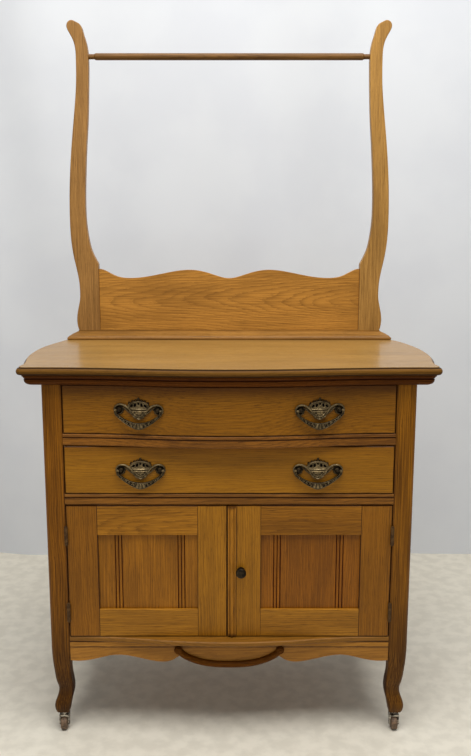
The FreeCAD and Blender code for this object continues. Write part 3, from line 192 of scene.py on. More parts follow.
def makeOak(name, node, changes):
    look = dict(oakLook, **changes)
    graph = Graph(name)
    x, y, z = graph.place()
    seed = look["seed"]
    axes = {"x": (x, z, y), "z": (z, x, y), "top": (x, y, z), "y": (y, x, z)}
    along, across, depth = axes[look["grain"]]
    if look["turn"] is not None:
        # the side strips of a mitred moulding run to the back
        cornerX, cornerY, runX, runY = look["turn"]
        side = graph.calc("GREATER_THAN", (abs(x) - cornerX) * runY, (cornerY - y) * runX)
        along = x + (y - x) * side
    start = along + seed * oakMarks["seedStep"]

    def grainNoise(key, acrossShift=0.0, depthShift=0.0, roughness=0.5):
        lengthwise, crosswise, detail = oakNoise[key]
        place = graph.join(start * (lengthwise or look[key]), across * crosswise + acrossShift,
                           depth * crosswise + depthShift)
        return graph.noise(place, detail, roughness)

    # growth rings, cut at a slope, with dark late wood and open early wood
    pithAcross, pithDepth = look["pith"]
    lift = depth - pithDepth + along * look["slope"]
    radius = graph.calc("SQRT", (across - pithAcross) ** 2.0 + lift * lift)
    radius = radius + (grainNoise("warp", acrossShift=seed) - 0.5) * oakMarks["warp"]
    radius = radius + (grainNoise("fine", depthShift=seed) - 0.5) * oakMarks["fine"]
    rings = radius / look["ring"]
    phase = graph.calc("FRACT", rings)
    late = phase ** 3.0
    early = 1.0 - graph.ramp(phase, *oakMarks["earlyWood"])
    ringTone = graph.noise(graph.join(rings * oakMarks["ringStep"], seed, 0.0), 1.0)
    pores = graph.ramp(grainNoise("pores"), *oakMarks["pores"]) * (early * 0.75 + 0.25)

    tone = tint(*look["tone"])
    contrast = look["contrast"]
    light = scaled(tone, 1.0 + contrast, 1.0 + contrast, 1.0 + contrast)
    deep = scaled(tone, 1.0 - contrast, 1.0 - contrast * 1.1, 1.0 - contrast * 1.25)
    broad = grainNoise("broad", depthShift=seed)
    streak = grainNoise("streak", depthShift=seed, roughness=0.65)
    dash = grainNoise("dash", depthShift=seed * 3.0)
    colour = graph.mix(graph.ramp(broad * 0.45 + streak * 0.55, *oakMarks["bands"]), light, deep)
    lines = late * look["ringShare"] * (0.4 + ringTone * 1.2) + pores * look["poreShare"]
    lines = lines + graph.ramp(dash, *oakMarks["dashes"]) * look["streakShare"]
    colour = graph.mix(graph.clamp(lines), colour, scaled(tone, *oakMarks["lineShares"]))

    # dark stain and grime at edges, joints and in grooves, and painted shade in some dark bands,
    # such as low on the top's nose
    step = oakMarks["blotch"]
    blotch = graph.noise(graph.join(x * step + seed, y * step, z * step), 3.0)
    wires = {"x": x, "y": y, "z": z}
    grimeAndShade = []
    if look["edge"] is not None:
        sides, width, share = look["edge"]
        gaps = []
        for axis, first, last in zip("xyz", *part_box(node)):
            if axis in sides:
                gaps += [wires[axis] - first / millimetre, last / millimetre - wires[axis]]
        near = graph.fold("MINIMUM", gaps) + (blotch - 0.5) * width
        grimeAndShade.append(graph.ramp(near, 0.0, width, share, 0.0))
    for axis, position, width, share in look["darkBands"]:
        grimeAndShade.append(graph.ramp(abs(wires[axis] - position), width * 0.3, width, share, 0.0))
    if look["grooves"] is not None:
        shallow, deepest, share = look["grooves"]
        sunk = graph.ramp(y, shallow, deepest, 0.0, share)
        grimeAndShade.append(sunk * graph.ramp(y, *oakMarks["panelBack"], 1.0, 0.0))
    if grimeAndShade:
        colour = graph.mix(graph.fold("MAXIMUM", grimeAndShade), colour, tint(*look["stainAndShadeColour"]))
    coat = look["coat"]
    # painted shade: the piece darkens along one axis towards darkest and loses its coat there; on
    # the drawers this is painted shadow under the top's moulding and under the bowed rail, on other
    # pieces only a darker end or side, such as the feet
    if look["shade"] is not None:
        axis, darkest, plain, shares = look["shade"]
        wire = wires[axis] + (blotch - 0.5) * oakMarks["sway"]
        if darkest < plain:
            dim = graph.ramp(wire, darkest, plain, 1.0, 0.0)
        else:
            dim = graph.ramp(wire, plain, darkest, 0.0, 1.0)
        colour = graph.mix(dim, colour, graph.mix(1.0, colour, (*shares, 1.0), "MULTIPLY"))
        coat = (1.0 - dim) * coat
    roughness = blotch * 0.16 + pores * 0.15 + (look["roughness"] - 0.08)
    normal = graph.bump(1.0 - pores * 0.8 - late * 0.25, *oakMarks["bump"])
    return graph.finish({"Base Color": colour, "Roughness": roughness, "Coat Weight": coat,
                         "Coat Roughness": look["coatRoughness"],
                         "Specular IOR Level": look["specular"], "Normal": normal})


# Metals and the castors' wheels. pullSeats is where the pulls sit, in millimetres and degrees.

caseFront = -174.5
pullSeats = {
    "upper": {"x": 170.0, "z": 674.91, "forward": 10.802, "turn": 8.363},
    "lower": {"x": 170.0, "z": 555.1525, "forward": 0.0, "turn": 0.0},
}
brassLook = {
    "light": (176, 148, 98), "dark": (40, 28, 16), "worn": 0.5, "roughness": 0.42, "metal": 0.75,
    "relief": None, "broad": 0.12, "fine": 1.1, "rubbed": (0.38, 0.66), "bump": (0.0002, 0.5),
}


def makeBrass(name, changes):
    look = dict(brassLook, **changes)
    graph = Graph(name)
    x, y, z = graph.place()
    broad = graph.clouds(x, y, z, look["broad"], 3.0)
    fine = graph.clouds(x, y, z, look["fine"], 2.0)
    worn = graph.ramp(broad * 0.55 + fine * 0.45, *look["rubbed"])
    share = worn * look["worn"]
    if look["relief"] is not None:
        # rubbed bright where the casting stands proud of the wood, and black in its hollows
        seat, low, high, atTip = look["relief"]
        lean = math.radians(seat["turn"])
        depth = (caseFront - seat["forward"] - y) * math.cos(lean)
        depth = depth + (abs(x) - seat["x"]) * math.sin(lean)
        tip = graph.ramp(depth, high + 1.0, high + 3.0, 1.0, atTip)
        share = graph.ramp(depth, low, high) * tip * (worn * 0.65 + 0.3)
    colour = graph.mix(share, tint(*look["dark"]), tint(*look["light"]))
    roughness = look["roughness"] + (1.0 - share) * 0.22
    return graph.finish({"Base Color": colour, "Metallic": look["metal"], "Roughness": roughness,
                         "Normal": graph.bump(fine, *look["bump"])})


pullBrass = {}
for level, seat in pullSeats.items():
    for part, low, high, atTip in (("Plates", 1.4, 5.6, 0.1), ("Bail", 8.4, 10.6, 1.0)):
        pullBrass[level + part] = makeBrass(level + part + "Brass", {
            "light": (164, 142, 102), "dark": (24, 15, 6), "roughness": 0.33,
            "relief": (seat, low, high, atTip)})
hingeBrass = makeBrass("hingeBrass", {
    "light": (140, 104, 56), "dark": (64, 42, 20), "roughness": 0.5, "metal": 0.5})
knobBrass = makeBrass("knobBrass", {
    "light": (104, 88, 64), "dark": (20, 15, 10), "roughness": 0.22, "metal": 0.8})
castorNickel = makeBrass("castorNickel", {
    "light": (226, 218, 204), "dark": (46, 34, 25), "worn": 0.9, "roughness": 0.2, "metal": 0.9})
screwSteel = makeBrass("screwSteel", {
    "light": (120, 110, 96), "dark": (58, 48, 38), "metal": 0.9})


wheelLook = {"light": (122, 96, 72), "dark": (84, 66, 50), "broad": 0.2, "fine": 1.6,
             "bands": (0.35, 0.65), "bump": (0.0003, 0.5)}


def makeWheelWood(look):
    graph = Graph("castorWheelWood")
    x, y, z = graph.place()
    broad = graph.clouds(x, y, z, look["broad"], 3.0)
    fine = graph.clouds(x, y, z, look["fine"], 2.0)
    bands = graph.ramp(broad, *look["bands"])
    colour = graph.mix(bands, tint(*look["light"]), tint(*look["dark"]))
    return graph.finish({"Base Color": colour, "Roughness": fine * 0.2 + 0.5,
                         "Normal": graph.bump(fine, *look["bump"])})


wheelWood = makeWheelWood(wheelLook)

# plain wood of the hidden pieces; its noises change by so much along and across the grain
secondaryLook = {"light": (200, 165, 114), "dark": (180, 141, 92), "line": (132, 96, 58),
                 "bands": (0.0025, 0.04), "fibre": (0.03, 1.4), "bump": (0.0003, 0.4),
                 "roughness": 0.72}


def makeSecondary(name, grain, seed):
    look = secondaryLook
    graph = Graph(name)
    x, y, z = graph.place()
    along, across, depth = {"x": (x, y, z), "y": (y, x, z), "z": (z, x, y)}[grain]
    lengthwise, crosswise = look["bands"]
    place = graph.join(along * lengthwise + seed, across * crosswise, depth * crosswise)
    bands = graph.ramp(graph.noise(place, 3.0), 0.35, 0.68)
    lengthwise, crosswise = look["fibre"]
    place = graph.join(along * lengthwise, across * crosswise, depth * crosswise + seed)
    fibre = graph.noise(place, 2.0)
    colour = graph.mix(bands, tint(*look["light"]), tint(*look["dark"]))
    colour = graph.mix(graph.ramp(fibre, 0.5, 0.75) * 0.3, colour, tint(*look["line"]))
    return graph.finish({"Base Color": colour, "Roughness": look["roughness"],
                         "Normal": graph.bump(fibre, *look["bump"])})


# Finishes of the carried pieces

uprightOak = dict(grain="z", slope=0.01, streakShare=0.35)
legOak = dict(grain="z", slope=0.004, ringShare=0.7, streakShare=0.8, poreShare=0.5,
              contrast=0.45, specular=0.14, dash=0.006)
drawerRailOak = dict(ringShare=0.5, contrast=0.4)
baseOak = dict(streakShare=0.2, poreShare=0.5)
stileOak = dict(grain="z", slope=0.02, edge=("xz", 1.8, 0.85), contrast=0.22, streakShare=0.4)
panelOak = dict(grain="z", slope=0.05, grooves=(-168.45, -168, 0.9), stainAndShadeColour=(70, 20, 14),
                edge=("xz", 10.5, 0.6))
oakPlans = {
    # the nose is darker than the face; its dark quirk line is stain and painted shadow, and the
    # broad dark band low on the nose is painted shade
    "top_board": dict(
        grain="top", seed=1, pith=(-40, 690), slope=0.05, ring=3, tone=(154, 118, 60), coat=0.6,
        roughness=0.5, ringShare=0.2, streakShare=0.25, contrast=0.14, specular=0.1,
        stainAndShadeColour=(52, 28, 6), shade=("z", 755.4, 757.4, (0.5, 0.4, 0.22)),
        darkBands=(("z", 756.2, 1.6, 0.95), ("z", 748.6, 1.4, 0.3), ("z", 742.5, 5.4, 0.85))),
    "bed_moulding": dict(
        seed=2, tone=(96, 52, 10), pith=(800, -250), ringShare=0.6, specular=0.06, coat=0,
        turn=(357, -174.5, 75, 50), darkBands=(("z", 735, 3, 0.7), ("z", 722.5, 2, 0.6))),
    "rack_base": dict(seed=3, tone=(144, 101, 42), pith=(700, 150)),
    "splashboard": dict(
        seed=4, tone=(178, 126, 53), pith=(846, 262), slope=0.09, ring=4.2, streakShare=0.3,
        edge=("xz", 1.8, 0.55)),
    "rack_upright_left": dict(**uprightOak, seed=5, tone=(154, 113, 60), pith=(-480, 210)),
    "rack_upright_right": dict(**uprightOak, seed=6, tone=(170, 128, 66), pith=(500, 205)),
    "towel_bar": dict(seed=7, tone=(116, 81, 37), pith=(1390, 240), coat=0),
    "front_leg_left": dict(
        **legOak, seed=8, tone=(133, 83, 14), pith=(-420, -120), darkBands=(("x", -316.4, 4.5, 0.6),),
        shade=("z", 50, 460, (0.46, 0.48, 0.8))),
    "front_leg_right": dict(
        **legOak, seed=9, tone=(140, 90, 17), pith=(430, -110), darkBands=(("x", 316.4, 4.5, 0.6),),
        shade=("z", 50, 420, (0.48, 0.49, 0.9))),
    "rear_legs": dict(
        grain="z", seed=10, tone=(112, 66, 18), pith=(20, 260), slope=0.004, ringShare=0.6,
        streakShare=0.6),
    "side_rails": dict(grain="y", seed=11, tone=(122, 74, 22), pith=(0, 300)),
    "side_panels": dict(grain="z", seed=13, tone=(130, 80, 24), pith=(150, 60), slope=0.06),
    "top_front_rail": dict(seed=14, tone=(80, 38, 8)),
    "drawer_rail_upper": dict(**drawerRailOak, seed=15, tone=(136, 86, 24), pith=(560, -80)),
    "drawer_rail_lower": dict(**drawerRailOak, seed=16, tone=(135, 87, 25), pith=(430, -80)),
    "base_rail": dict(
        **baseOak, seed=17, tone=(170, 116, 40), pith=(150, -60), contrast=0.16, ringShare=0.3,
        edge=("z", 2.4, 0.85)),
    "bottom_board": dict(
        grain="top", seed=18, tone=(138, 93, 29), pith=(-150, 150), contrast=0.16,
        streakShare=0.2),
    "front_apron": dict(
        **baseOak, seed=19, tone=(166, 113, 41), pith=(120, -60), contrast=0.18, ringShare=0.35,
        edge=("z", 2.4, 0.8)),
    "apron_scroll": dict(seed=20, tone=(98, 56, 8), pith=(190, -90), specular=0.06, coat=0),
    # shade paints the shadow of the top's moulding over the top of the drawer
    "upper_drawer_front": dict(
        seed=21, tone=(147, 95, 12), pith=(560, -60), slope=0.05, edge=("xz", 2.4, 0.85),
        ringShare=0.4, contrast=0.2, shade=("z", 722, 690, (0.44, 0.36, 0.24))),
    # shade paints the shadow of the bowed rail above over the top of the drawer
    "lower_drawer_front": dict(
        seed=22, tone=(160, 107, 18), pith=(480, -110), slope=0.03, edge=("xz", 2.4, 0.85),
        ringShare=0.3, contrast=0.16, streakShare=0.4, shade=("z", 600, 575, (0.82, 0.77, 0.7))),
    "left_door_stiles": dict(
        **stileOak, seed=23, tone=(163, 109, 20), pith=(-90, -100),
        darkBands=(("x", -62, 1.6, 0.85), ("x", -256.5, 1.8, 0.9)),
        shade=("x", -220, -100, (0.74, 0.67, 0.72))),
    "right_door_stiles": dict(
        **stileOak, seed=24, tone=(162, 108, 20), pith=(150, -100),
        darkBands=(("x", 62, 1.6, 0.85), ("x", 256.5, 1.8, 0.9)),
        shade=("x", 220, 100, (0.74, 0.68, 0.76))),
    "left_door_rails": dict(
        seed=25, tone=(172, 117, 28), pith=(420, -90), edge=("z", 1.8, 0.85),
        shade=("z", 400, 300, (0.9, 0.86, 0.82))),
    "right_door_rails": dict(
        seed=26, tone=(163, 110, 26), pith=(400, -90), edge=("z", 1.8, 0.85), streakShare=0.6,
        shade=("z", 400, 300, (0.84, 0.78, 0.7))),
    "left_door_panel": dict(**panelOak, seed=27, tone=(160, 103, 19), pith=(-160, -150)),
    "right_door_panel": dict(**panelOak, seed=28, tone=(144, 87, 12), pith=(200, -150)),
    # its dark ends are wear, and the top end is also painted shadow of the rail above
    "door_astragal": dict(
        grain="z", seed=29, tone=(168, 112, 26), pith=(60, -180), edge=("z", 9, 0.75),
        darkBands=(("x", -3.5, 1.8, 0.85), ("x", 14, 2, 0.85), ("x", 0.6, 0.9, 0.5),
               ("x", 9.9, 0.9, 0.5))),
}
railBead = {"drop": 7.2, "width": 1.6, "share": 0.9}
for nodeName in ("drawer_rail_upper", "drawer_rail_lower"):
    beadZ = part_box(nodeName)[1].z / millimetre - railBead["drop"]
    oakPlans[nodeName]["darkBands"] = (("z", beadZ, railBead["width"], railBead["share"]),)

secondaryPlans = {
    "back_rails": ("x", 1), "back_panel": ("z", 2), "drawer_runners": ("y", 3),
    "upper_drawer_sides": ("y", 4), "upper_drawer_back": ("x", 5),
    "upper_drawer_bottom": ("y", 6), "lower_drawer_sides": ("y", 7),
    "lower_drawer_back": ("x", 8), "lower_drawer_bottom": ("y", 9),
}
metalPlans = {
    "post_hinge_leaves": hingeBrass, "left_door_hinge_leaves": hingeBrass,
    "right_door_hinge_leaves": hingeBrass, "hinge_pins": hingeBrass,
    "knob_plate": knobBrass, "door_knob": knobBrass, "castor_sockets": castorNickel,
    "upper_pull_bolts": screwSteel, "lower_pull_bolts": screwSteel,
}
for corner in ("front_left", "front_right", "rear_left", "rear_right"):
    metalPlans["castor_fork_" + corner] = castorNickel
    metalPlans["castor_wheel_" + corner] = wheelWood


def finishNode(name, material):
    for materialSlot in nodes[name].material_slots:
        materialSlot.material = material


for nodeName, plan in oakPlans.items():
    finishNode(nodeName, makeOak("oak " + nodeName.replace("_", " "), nodeName, plan))
for nodeName, (grain, seed) in secondaryPlans.items():
    finishNode(nodeName, makeSecondary("plain " + nodeName.replace("_", " "), grain, seed))
for nodeName, material in metalPlans.items():
    finishNode(nodeName, material)
print("carried pieces finished:", len(oakPlans) + len(secondaryPlans) + len(metalPlans))


# Object and mesh helpers

weldGap, sliverGap = 1e-6, 1e-7
tubeOrder, tubeSteps = 4, 5


def linked(name, data):
    made = bpy.data.objects.new(name, data)
    bpy.context.scene.collection.objects.link(made)
    return made


def smoothed(mesh):
    for polygon in mesh.polygons:
        polygon.use_smooth = True
    return mesh


def meshFrom(name, shape):
    mesh = bpy.data.meshes.new(name)
    shape.to_mesh(mesh)
    shape.free()
    return mesh


def evaluatedMesh(holder):
    # the finished mesh of a temporary object, which is removed
    evaluated = holder.evaluated_get(bpy.context.evaluated_depsgraph_get())
    mesh = bpy.data.meshes.new_from_object(evaluated)
    bpy.data.objects.remove(holder)
    return mesh


def reliefSheet(name, front, back, wrap):
    # a closed sheet between two grids of points, rows by columns
    rows, columns = front.shape[:2]
    count = rows * columns
    points = np.concatenate([front.reshape(-1, 3), back.reshape(-1, 3)])
    faces = []
    last = columns if wrap else columns - 1

    def corner(row, column):
        return row * columns + column % columns

    for row in range(rows - 1):
        for column in range(last):
            a, b = corner(row, column), corner(row, column + 1)
            c, d = a + columns, b + columns
            faces.append((a, b, d, c))
            faces.append((count + a, count + c, count + d, count + b))
    rims = [(corner(row, column), corner(row, column + 1)) for row in (0, rows - 1)
            for column in range(last)]
    if not wrap:
        rims += [(corner(row, column), corner(row + 1, column)) for row in range(rows - 1)
                 for column in (0, columns - 1)]
    faces += [(a, b, count + b, count + a) for a, b in rims]
    mesh = bpy.data.meshes.new(name)
    mesh.from_pydata([tuple(point) for point in points], [], faces)
    shell = bmesh.new()
    shell.from_mesh(mesh)
    bmesh.ops.remove_doubles(shell, verts=shell.verts, dist=weldGap)
    bmesh.ops.dissolve_degenerate(shell, edges=shell.edges, dist=sliverGap)
    bmesh.ops.recalc_face_normals(shell, faces=shell.faces)
    shell.to_mesh(mesh)
    shell.free()
    return smoothed(mesh)


def tubeMesh(name, paths, sides):
    # each path is a list of (x, y, z, radius) in millimetres
    curve = bpy.data.curves.new(name, "CURVE")
    curve.dimensions = "3D"
    curve.bevel_depth = millimetre
    curve.bevel_resolution = sides
    curve.use_fill_caps = True
    for path in paths:
        spline = curve.splines.new("NURBS")
        spline.points.add(len(path) - 1)
        for point, (x, y, z, radius) in zip(spline.points, path):
            point.co = (x * millimetre, y * millimetre, z * millimetre, 1.0)
            point.radius = radius
        spline.order_u = tubeOrder
        spline.use_endpoint_u = True
        spline.resolution_u = tubeSteps
    mesh = evaluatedMesh(linked(name, curve))
    bpy.data.curves.remove(curve)
    return smoothed(mesh)


def joined(name, parts, material):
    # one mesh from (mesh, matrix) pairs
    whole = bmesh.new()
    for mesh, matrix in parts:
        copy = mesh.copy()
        copy.transform(matrix)
        whole.from_mesh(copy)
        bpy.data.meshes.remove(copy)
    mesh = meshFrom(name, whole)
    mesh.materials.clear()
    mesh.materials.append(material)
    for polygon in mesh.polygons:
        polygon.material_index = 0
    return linked(name, mesh)


# Geometry Nodes: one small piece repeated on given points, or along given paths

repeaterInputs = {"Places": "Geometry", "Piece": "Object", "Turn": "Vector", "Spacing": "Float",
                  "Finish": "Material"}


def makeRepeater(name, alongPaths):
    tree = bpy.data.node_groups.new(name, "GeometryNodeTree")
    for socketName, kind in repeaterInputs.items():
        tree.interface.new_socket(socketName, in_out="INPUT", socket_type="NodeSocket" + kind)
    tree.interface.new_socket("Geometry", in_out="OUTPUT", socket_type="NodeSocketGeometry")
    add, link = tree.nodes.new, tree.links.new
    start = add("NodeGroupInput")
    points = start.outputs["Places"]
    if alongPaths:
        toCurve = add("GeometryNodeMeshToCurve")
        resample = add("GeometryNodeResampleCurve")
        resample.mode = "LENGTH"
        link(points, toCurve.inputs["Mesh"])
        link(toCurve.outputs["Curve"], resample.inputs["Curve"])
        link(start.outputs["Spacing"], resample.inputs["Length"])
        points = resample.outputs["Curve"]
    info = add("GeometryNodeObjectInfo")
    instances = add("GeometryNodeInstanceOnPoints")
    realize = add("GeometryNodeRealizeInstances")
    finish = add("GeometryNodeSetMaterial")
    end = add("NodeGroupOutput")
    link(start.outputs["Piece"], info.inputs["Object"])
    link(points, instances.inputs["Points"])
    link(info.outputs["Geometry"], instances.inputs["Instance"])
    link(start.outputs["Turn"], instances.inputs["Rotation"])
    link(instances.outputs["Instances"], realize.inputs["Geometry"])
    link(realize.outputs["Geometry"], finish.inputs["Geometry"])
    link(start.outputs["Finish"], finish.inputs["Material"])
    link(finish.outputs["Geometry"], end.inputs["Geometry"])
    return tree


onPoints = makeRepeater("repeatOnPoints", False)
onPaths = makeRepeater("repeatOnPaths", True)


def repeated(name, tree, points, edges, piece, turn, spacing, material):
    # points in millimetres; gives back the finished mesh
    places = bpy.data.meshes.new(name)
    corners = [tuple(value * millimetre for value in point) for point in points]
    places.from_pydata(corners, edges, [])
    holder = linked(name, places)
    modifier = holder.modifiers.new(name, "NODES")
    modifier.node_group = tree
    values = {"Piece": piece, "Turn": turn, "Spacing": spacing * millimetre, "Finish": material}
    for item in tree.interface.items_tree:
        if item.in_out == "INPUT" and item.name in values:
            modifier[item.identifier] = values[item.name]
    bpy.context.view_layer.update()
    mesh = evaluatedMesh(holder)
    bpy.data.meshes.remove(places)
    return mesh


def smallPiece(name, build):
    # a template for the repeaters, removed after use
    shape = bmesh.new()
    build(shape)
    return linked(name, smoothed(meshFrom(name, shape)))


# Drawer pulls, about the middle of the pivots with the wood behind y = 0, in millimetres.
# A ridge is (height, middle, width).

pullPlan = {
    "centres": 37, "standOff": 7.6, "beadRadius": 0.85, "backY": -0.05, "postSteps": 28,
    "post": ((4.7, 0.5), (4.5, 2.2), (3.5, 3), (3.5, 9), (3.255, 10.1), (2.52, 10.85),
             (1.225, 11.2)),
}
basketPlan = {
    "rings": 46, "spokes": 168, "lineSteps": 161, "rounds": 40, "shoulder": 2.2, "dome": 3.6,
    "outline": ((0, -18.8), (5.2, -18), (10.2, -14.6), (14.8, -8.6), (18.2, -1.6),
                (20.4, 2.4), (21.6, 6.2), (20.6, 10.2), (17.2, 13.6), (9.2, 16.6), (0, 17.8)),
    "rim": (1.9, 0.94, 0.06),
    "bars": ((1.1, 1.6, 0.8), (-1.4, -0.4, 0.8), (0.9, -2.6, 0.8)),
    "bowl": (3.4, 4.4), "fanZ": 3, "flutes": 13, "fluteHeight": 0.5, "fluteShare": (0.15, 0.5),
    "scallops": (1.1, 0.72, 0.06), "groove": (-1.4, 0.56, 0.05),
    "button": (1, 0, 2.4), "buttonZ": -8,
    "rib": (0.8, 0, 1.2), "ribFrom": (2.4, 4.4), "ribTo": (8, 9.6),
    "pit": (0.8, 1.12), "pitFloor": 0.4, "pitRim": (0.5, 1.35, 0.2),
    "holes": ((0, 12.6, 1.7, 2.7, 0), (6.3, 9.4, 2.1, 3.4, -14),
              (-6.3, 9.4, 2.1, 3.4, 14), (13.2, 7.8, 2, 3.2, -42),
              (-13.2, 7.8, 2, 3.2, 42)),  # x, z, half width, half height, lean
}


def smooth(value, low, high):
    share = np.clip((value - low) / (high - low), 0.0, 1.0)
    return share * share * (3.0 - 2.0 * share)


def ridge(value, height, middle, width):
    return height * np.exp(-(((value - middle) / width) ** 2))


def alongLine(points, count):
    points = np.array(points, float)
    lengths = np.hypot(*(points[1:] - points[:-1]).T)
    place = np.concatenate([[0.0], np.cumsum(lengths)])
    spots = np.linspace(0.0, place[-1], count)
    return np.stack([np.interp(spots, place, column) for column in points.T], 1)


def softened(points, rounds):
    # rounds off the corners of a line and keeps its ends
    for _ in range(rounds):
        middle = (points[:-2] + 2.0 * points[1:-1] + points[2:]) / 4.0
        points = np.concatenate([points[:1], middle, points[-1:]])
    return points


basketLine = softened(alongLine(basketPlan["outline"], basketPlan["lineSteps"]),
                      basketPlan["rounds"])
basketTurns = np.arctan2(basketLine[:, 1], basketLine[:, 0])
basketReach = np.hypot(basketLine[:, 0], basketLine[:, 1])


def basketOutline(angle):
    # how far a narrow bowl under a full crown reaches from the middle of the pivots
    turn = np.arctan2(np.sin(angle), np.abs(np.cos(angle)))
    return np.interp(turn, basketTurns, basketReach)


def discGrid(plan):
    share = np.linspace(0.0, 1.0, plan["rings"])[:, None]
    return share, np.linspace(0.0, 2.0 * math.pi, plan["spokes"], endpoint=False)[None, :]


def discSheet(name, x, height, z):
    front = np.stack([x, -height, z], axis=-1) * millimetre
    back = np.stack([x, np.full_like(x, pullPlan["backY"]), z], axis=-1) * millimetre
    return reliefSheet(name, front, back, True)


def basketMesh():
    plan = basketPlan
    share, angle = discGrid(plan)
    reach = basketOutline(angle) * share
    x = reach * np.cos(angle)
    z = reach * np.sin(angle)
    height = plan["shoulder"] + plan["dome"] * (1.0 - share ** 2.0)
    height = height + ridge(share, *plan["rim"])
    for bar in plan["bars"]:
        height = height + ridge(z, *bar)
    # the fluted bowl below the bars
    bowl = smooth(-z, *plan["bowl"])
    fan = np.arctan2(x, -(z - plan["fanZ"])) * plan["flutes"]
    flutes = plan["fluteHeight"] * np.cos(fan) * smooth(share, *plan["fluteShare"])
    scallops = ridge(share, *plan["scallops"]) * (0.5 + 0.5 * np.cos(fan * 2.0))
    height = height + bowl * (flutes + scallops + ridge(share, *plan["groove"]))
    height = height + ridge(np.hypot(x, z - plan["buttonZ"]), *plan["button"])
    rib = ridge(x, *plan["rib"]) * smooth(z, *plan["ribFrom"])
    height = height + rib * (1.0 - smooth(z, *plan["ribTo"]))
    pits = np.zeros_like(height)
    for holeX, holeZ, wide, tall, lean in plan["holes"]:
        turn = math.radians(lean)
        u = (x - holeX) * math.cos(turn) - (z - holeZ) * math.sin(turn)
        v = (x - holeX) * math.sin(turn) + (z - holeZ) * math.cos(turn)
        ring = np.hypot(u / wide, v / tall)
        pits = np.maximum(pits, 1.0 - smooth(ring, *plan["pit"]))
        height = height + ridge(ring, *plan["pitRim"])
    return discSheet("basket", x, height * (1.0 - pits) + plan["pitFloor"] * pits, z)


bossPlan = {
    "rings": 26, "spokes": 96, "radius": 8.6, "lobes": 8, "lobeReach": 0.5, "lobeHeight": 0.35,
    "lobeShare": (0.4, 0.7), "base": 1.5, "rim": (1.2, 0.86, 0.1), "sunk": (-0.7, 0.6, 0.12),
}


def bossMesh(side):
    # a lobed disc with a sunk ring round the post
    plan = bossPlan
    share, angle = discGrid(plan)
    lobes = np.cos(angle * plan["lobes"])
    reach = (plan["radius"] + plan["lobeReach"] * lobes) * share
    height = plan["base"] + ridge(share, *plan["rim"]) + ridge(share, *plan["sunk"])
    height = height + plan["lobeHeight"] * lobes * smooth(share, *plan["lobeShare"])
    x = reach * np.cos(angle) + side * pullPlan["centres"]
    return discSheet("boss", x, height, reach * np.sin(angle))


def spun(name, profile, axisPoint, direction, steps):
    # a turned piece: profile is (radius, distance along the axis) in millimetres
    shape = bmesh.new()
    rows = []
    axis = Vector(direction)
    first = axis.cross(Vector((0.0, 0.0, 1.0))).normalized()
    second = axis.cross(first).normalized()
    for radius, distance in profile:
        row = []
        for step in range(steps):
            turn = 2.0 * math.pi * step / steps
            spot = Vector(axisPoint) + axis * distance
            spot = spot + (first * math.cos(turn) + second * math.sin(turn)) * radius
            row.append(shape.verts.new(spot * millimetre))
        rows.append(row)
    for lower, upper in zip(rows, rows[1:]):
        for step in range(steps):
            after = (step + 1) % steps
            shape.faces.new((lower[step], lower[after], upper[after], upper[step]))
    shape.faces.new(rows[0])
    shape.faces.new(list(reversed(rows[-1])))
    bmesh.ops.remove_doubles(shape, verts=shape.verts, dist=sliverGap)
    bmesh.ops.recalc_face_normals(shape, faces=shape.faces)
    return smoothed(meshFrom(name, shape))


# paths of (x, y, z, radius); the first three are made for both sides
tubePlan = {
    "scroll": ((15, -3, -3, 1.7), (18.5, -3.4, 2.2, 1.9), (24.5, -3.2, 7.4, 2.1),
               (31.5, -3, 10, 2), (38, -2.8, 10.2, 1.9), (44, -2.8, 7.6, 1.8),
               (47.2, -2.8, 1.6, 1.7), (46.2, -2.8, -4.6, 1.5), (41.4, -2.7, -8.8, 1.3),
               (35.4, -2.6, -8.6, 1.1), (31.2, -2.5, -5, 0.9), (30.6, -2.4, -0.6, 0.8)),
    "branch": ((12.4, -2.4, -9.4, 1.2), (17.2, -2.4, -5.8, 1.3), (22.4, -2.4, -2, 1.3),
               (26.4, -2.3, 2.2, 1.2), (30.4, -2.3, 4.4, 1.1)),
    "curl": ((22, -2.6, 5, 0.9), (24.8, -2.6, 4, 0.9), (25.4, -2.6, 1.8, 0.8),
             (23.4, -2.6, 0.4, 0.8), (21.6, -2.6, 1.6, 0.7)),
    "crest": ((-2.4, -1.6, 18.6, 0.9), (-1.5, -1.9, 21.4, 1), (0, -2, 24.4, 1.1),
              (1.5, -1.9, 21.4, 1), (2.4, -1.6, 18.6, 0.9)),
    "arches": range(-3, 4), "archTurn": 18, "archSize": 2.9, "archLess": 0.3, "archY": -1.7,
    "archRadius": 0.75, "archSteps": 6, "sides": 3,
}


def pullTubes():
    plan = tubePlan
    paths = []
    for side in (-1, 1):
        for key in ("scroll", "branch", "curl"):
            paths.append([(side * x, y, z, radius) for x, y, z, radius in plan[key]])
    # small arches over the crown
    for index in plan["arches"]:
        middle = math.radians(90.0 - index * plan["archTurn"])
        reach = float(basketOutline(np.array(middle)))
        centreX, centreZ = reach * math.cos(middle), reach * math.sin(middle)
        size = plan["archSize"] - plan["archLess"] * abs(index)
        arch = []
        for step in range(plan["archSteps"] + 1):
            turn = middle - math.pi / 2.0 + math.pi * step / plan["archSteps"]
            arch.append((centreX + size * math.cos(turn), plan["archY"],
                         centreZ + size * math.sin(turn), plan["archRadius"]))
        paths.append(arch)
    paths.append(plan["crest"])
    return tubeMesh("pullTubes", paths, plan["sides"])


beadPiece = smallPiece("bead", lambda shape: bmesh.ops.create_icosphere(
    shape, subdivisions=2, radius=pullPlan["beadRadius"] * millimetre))


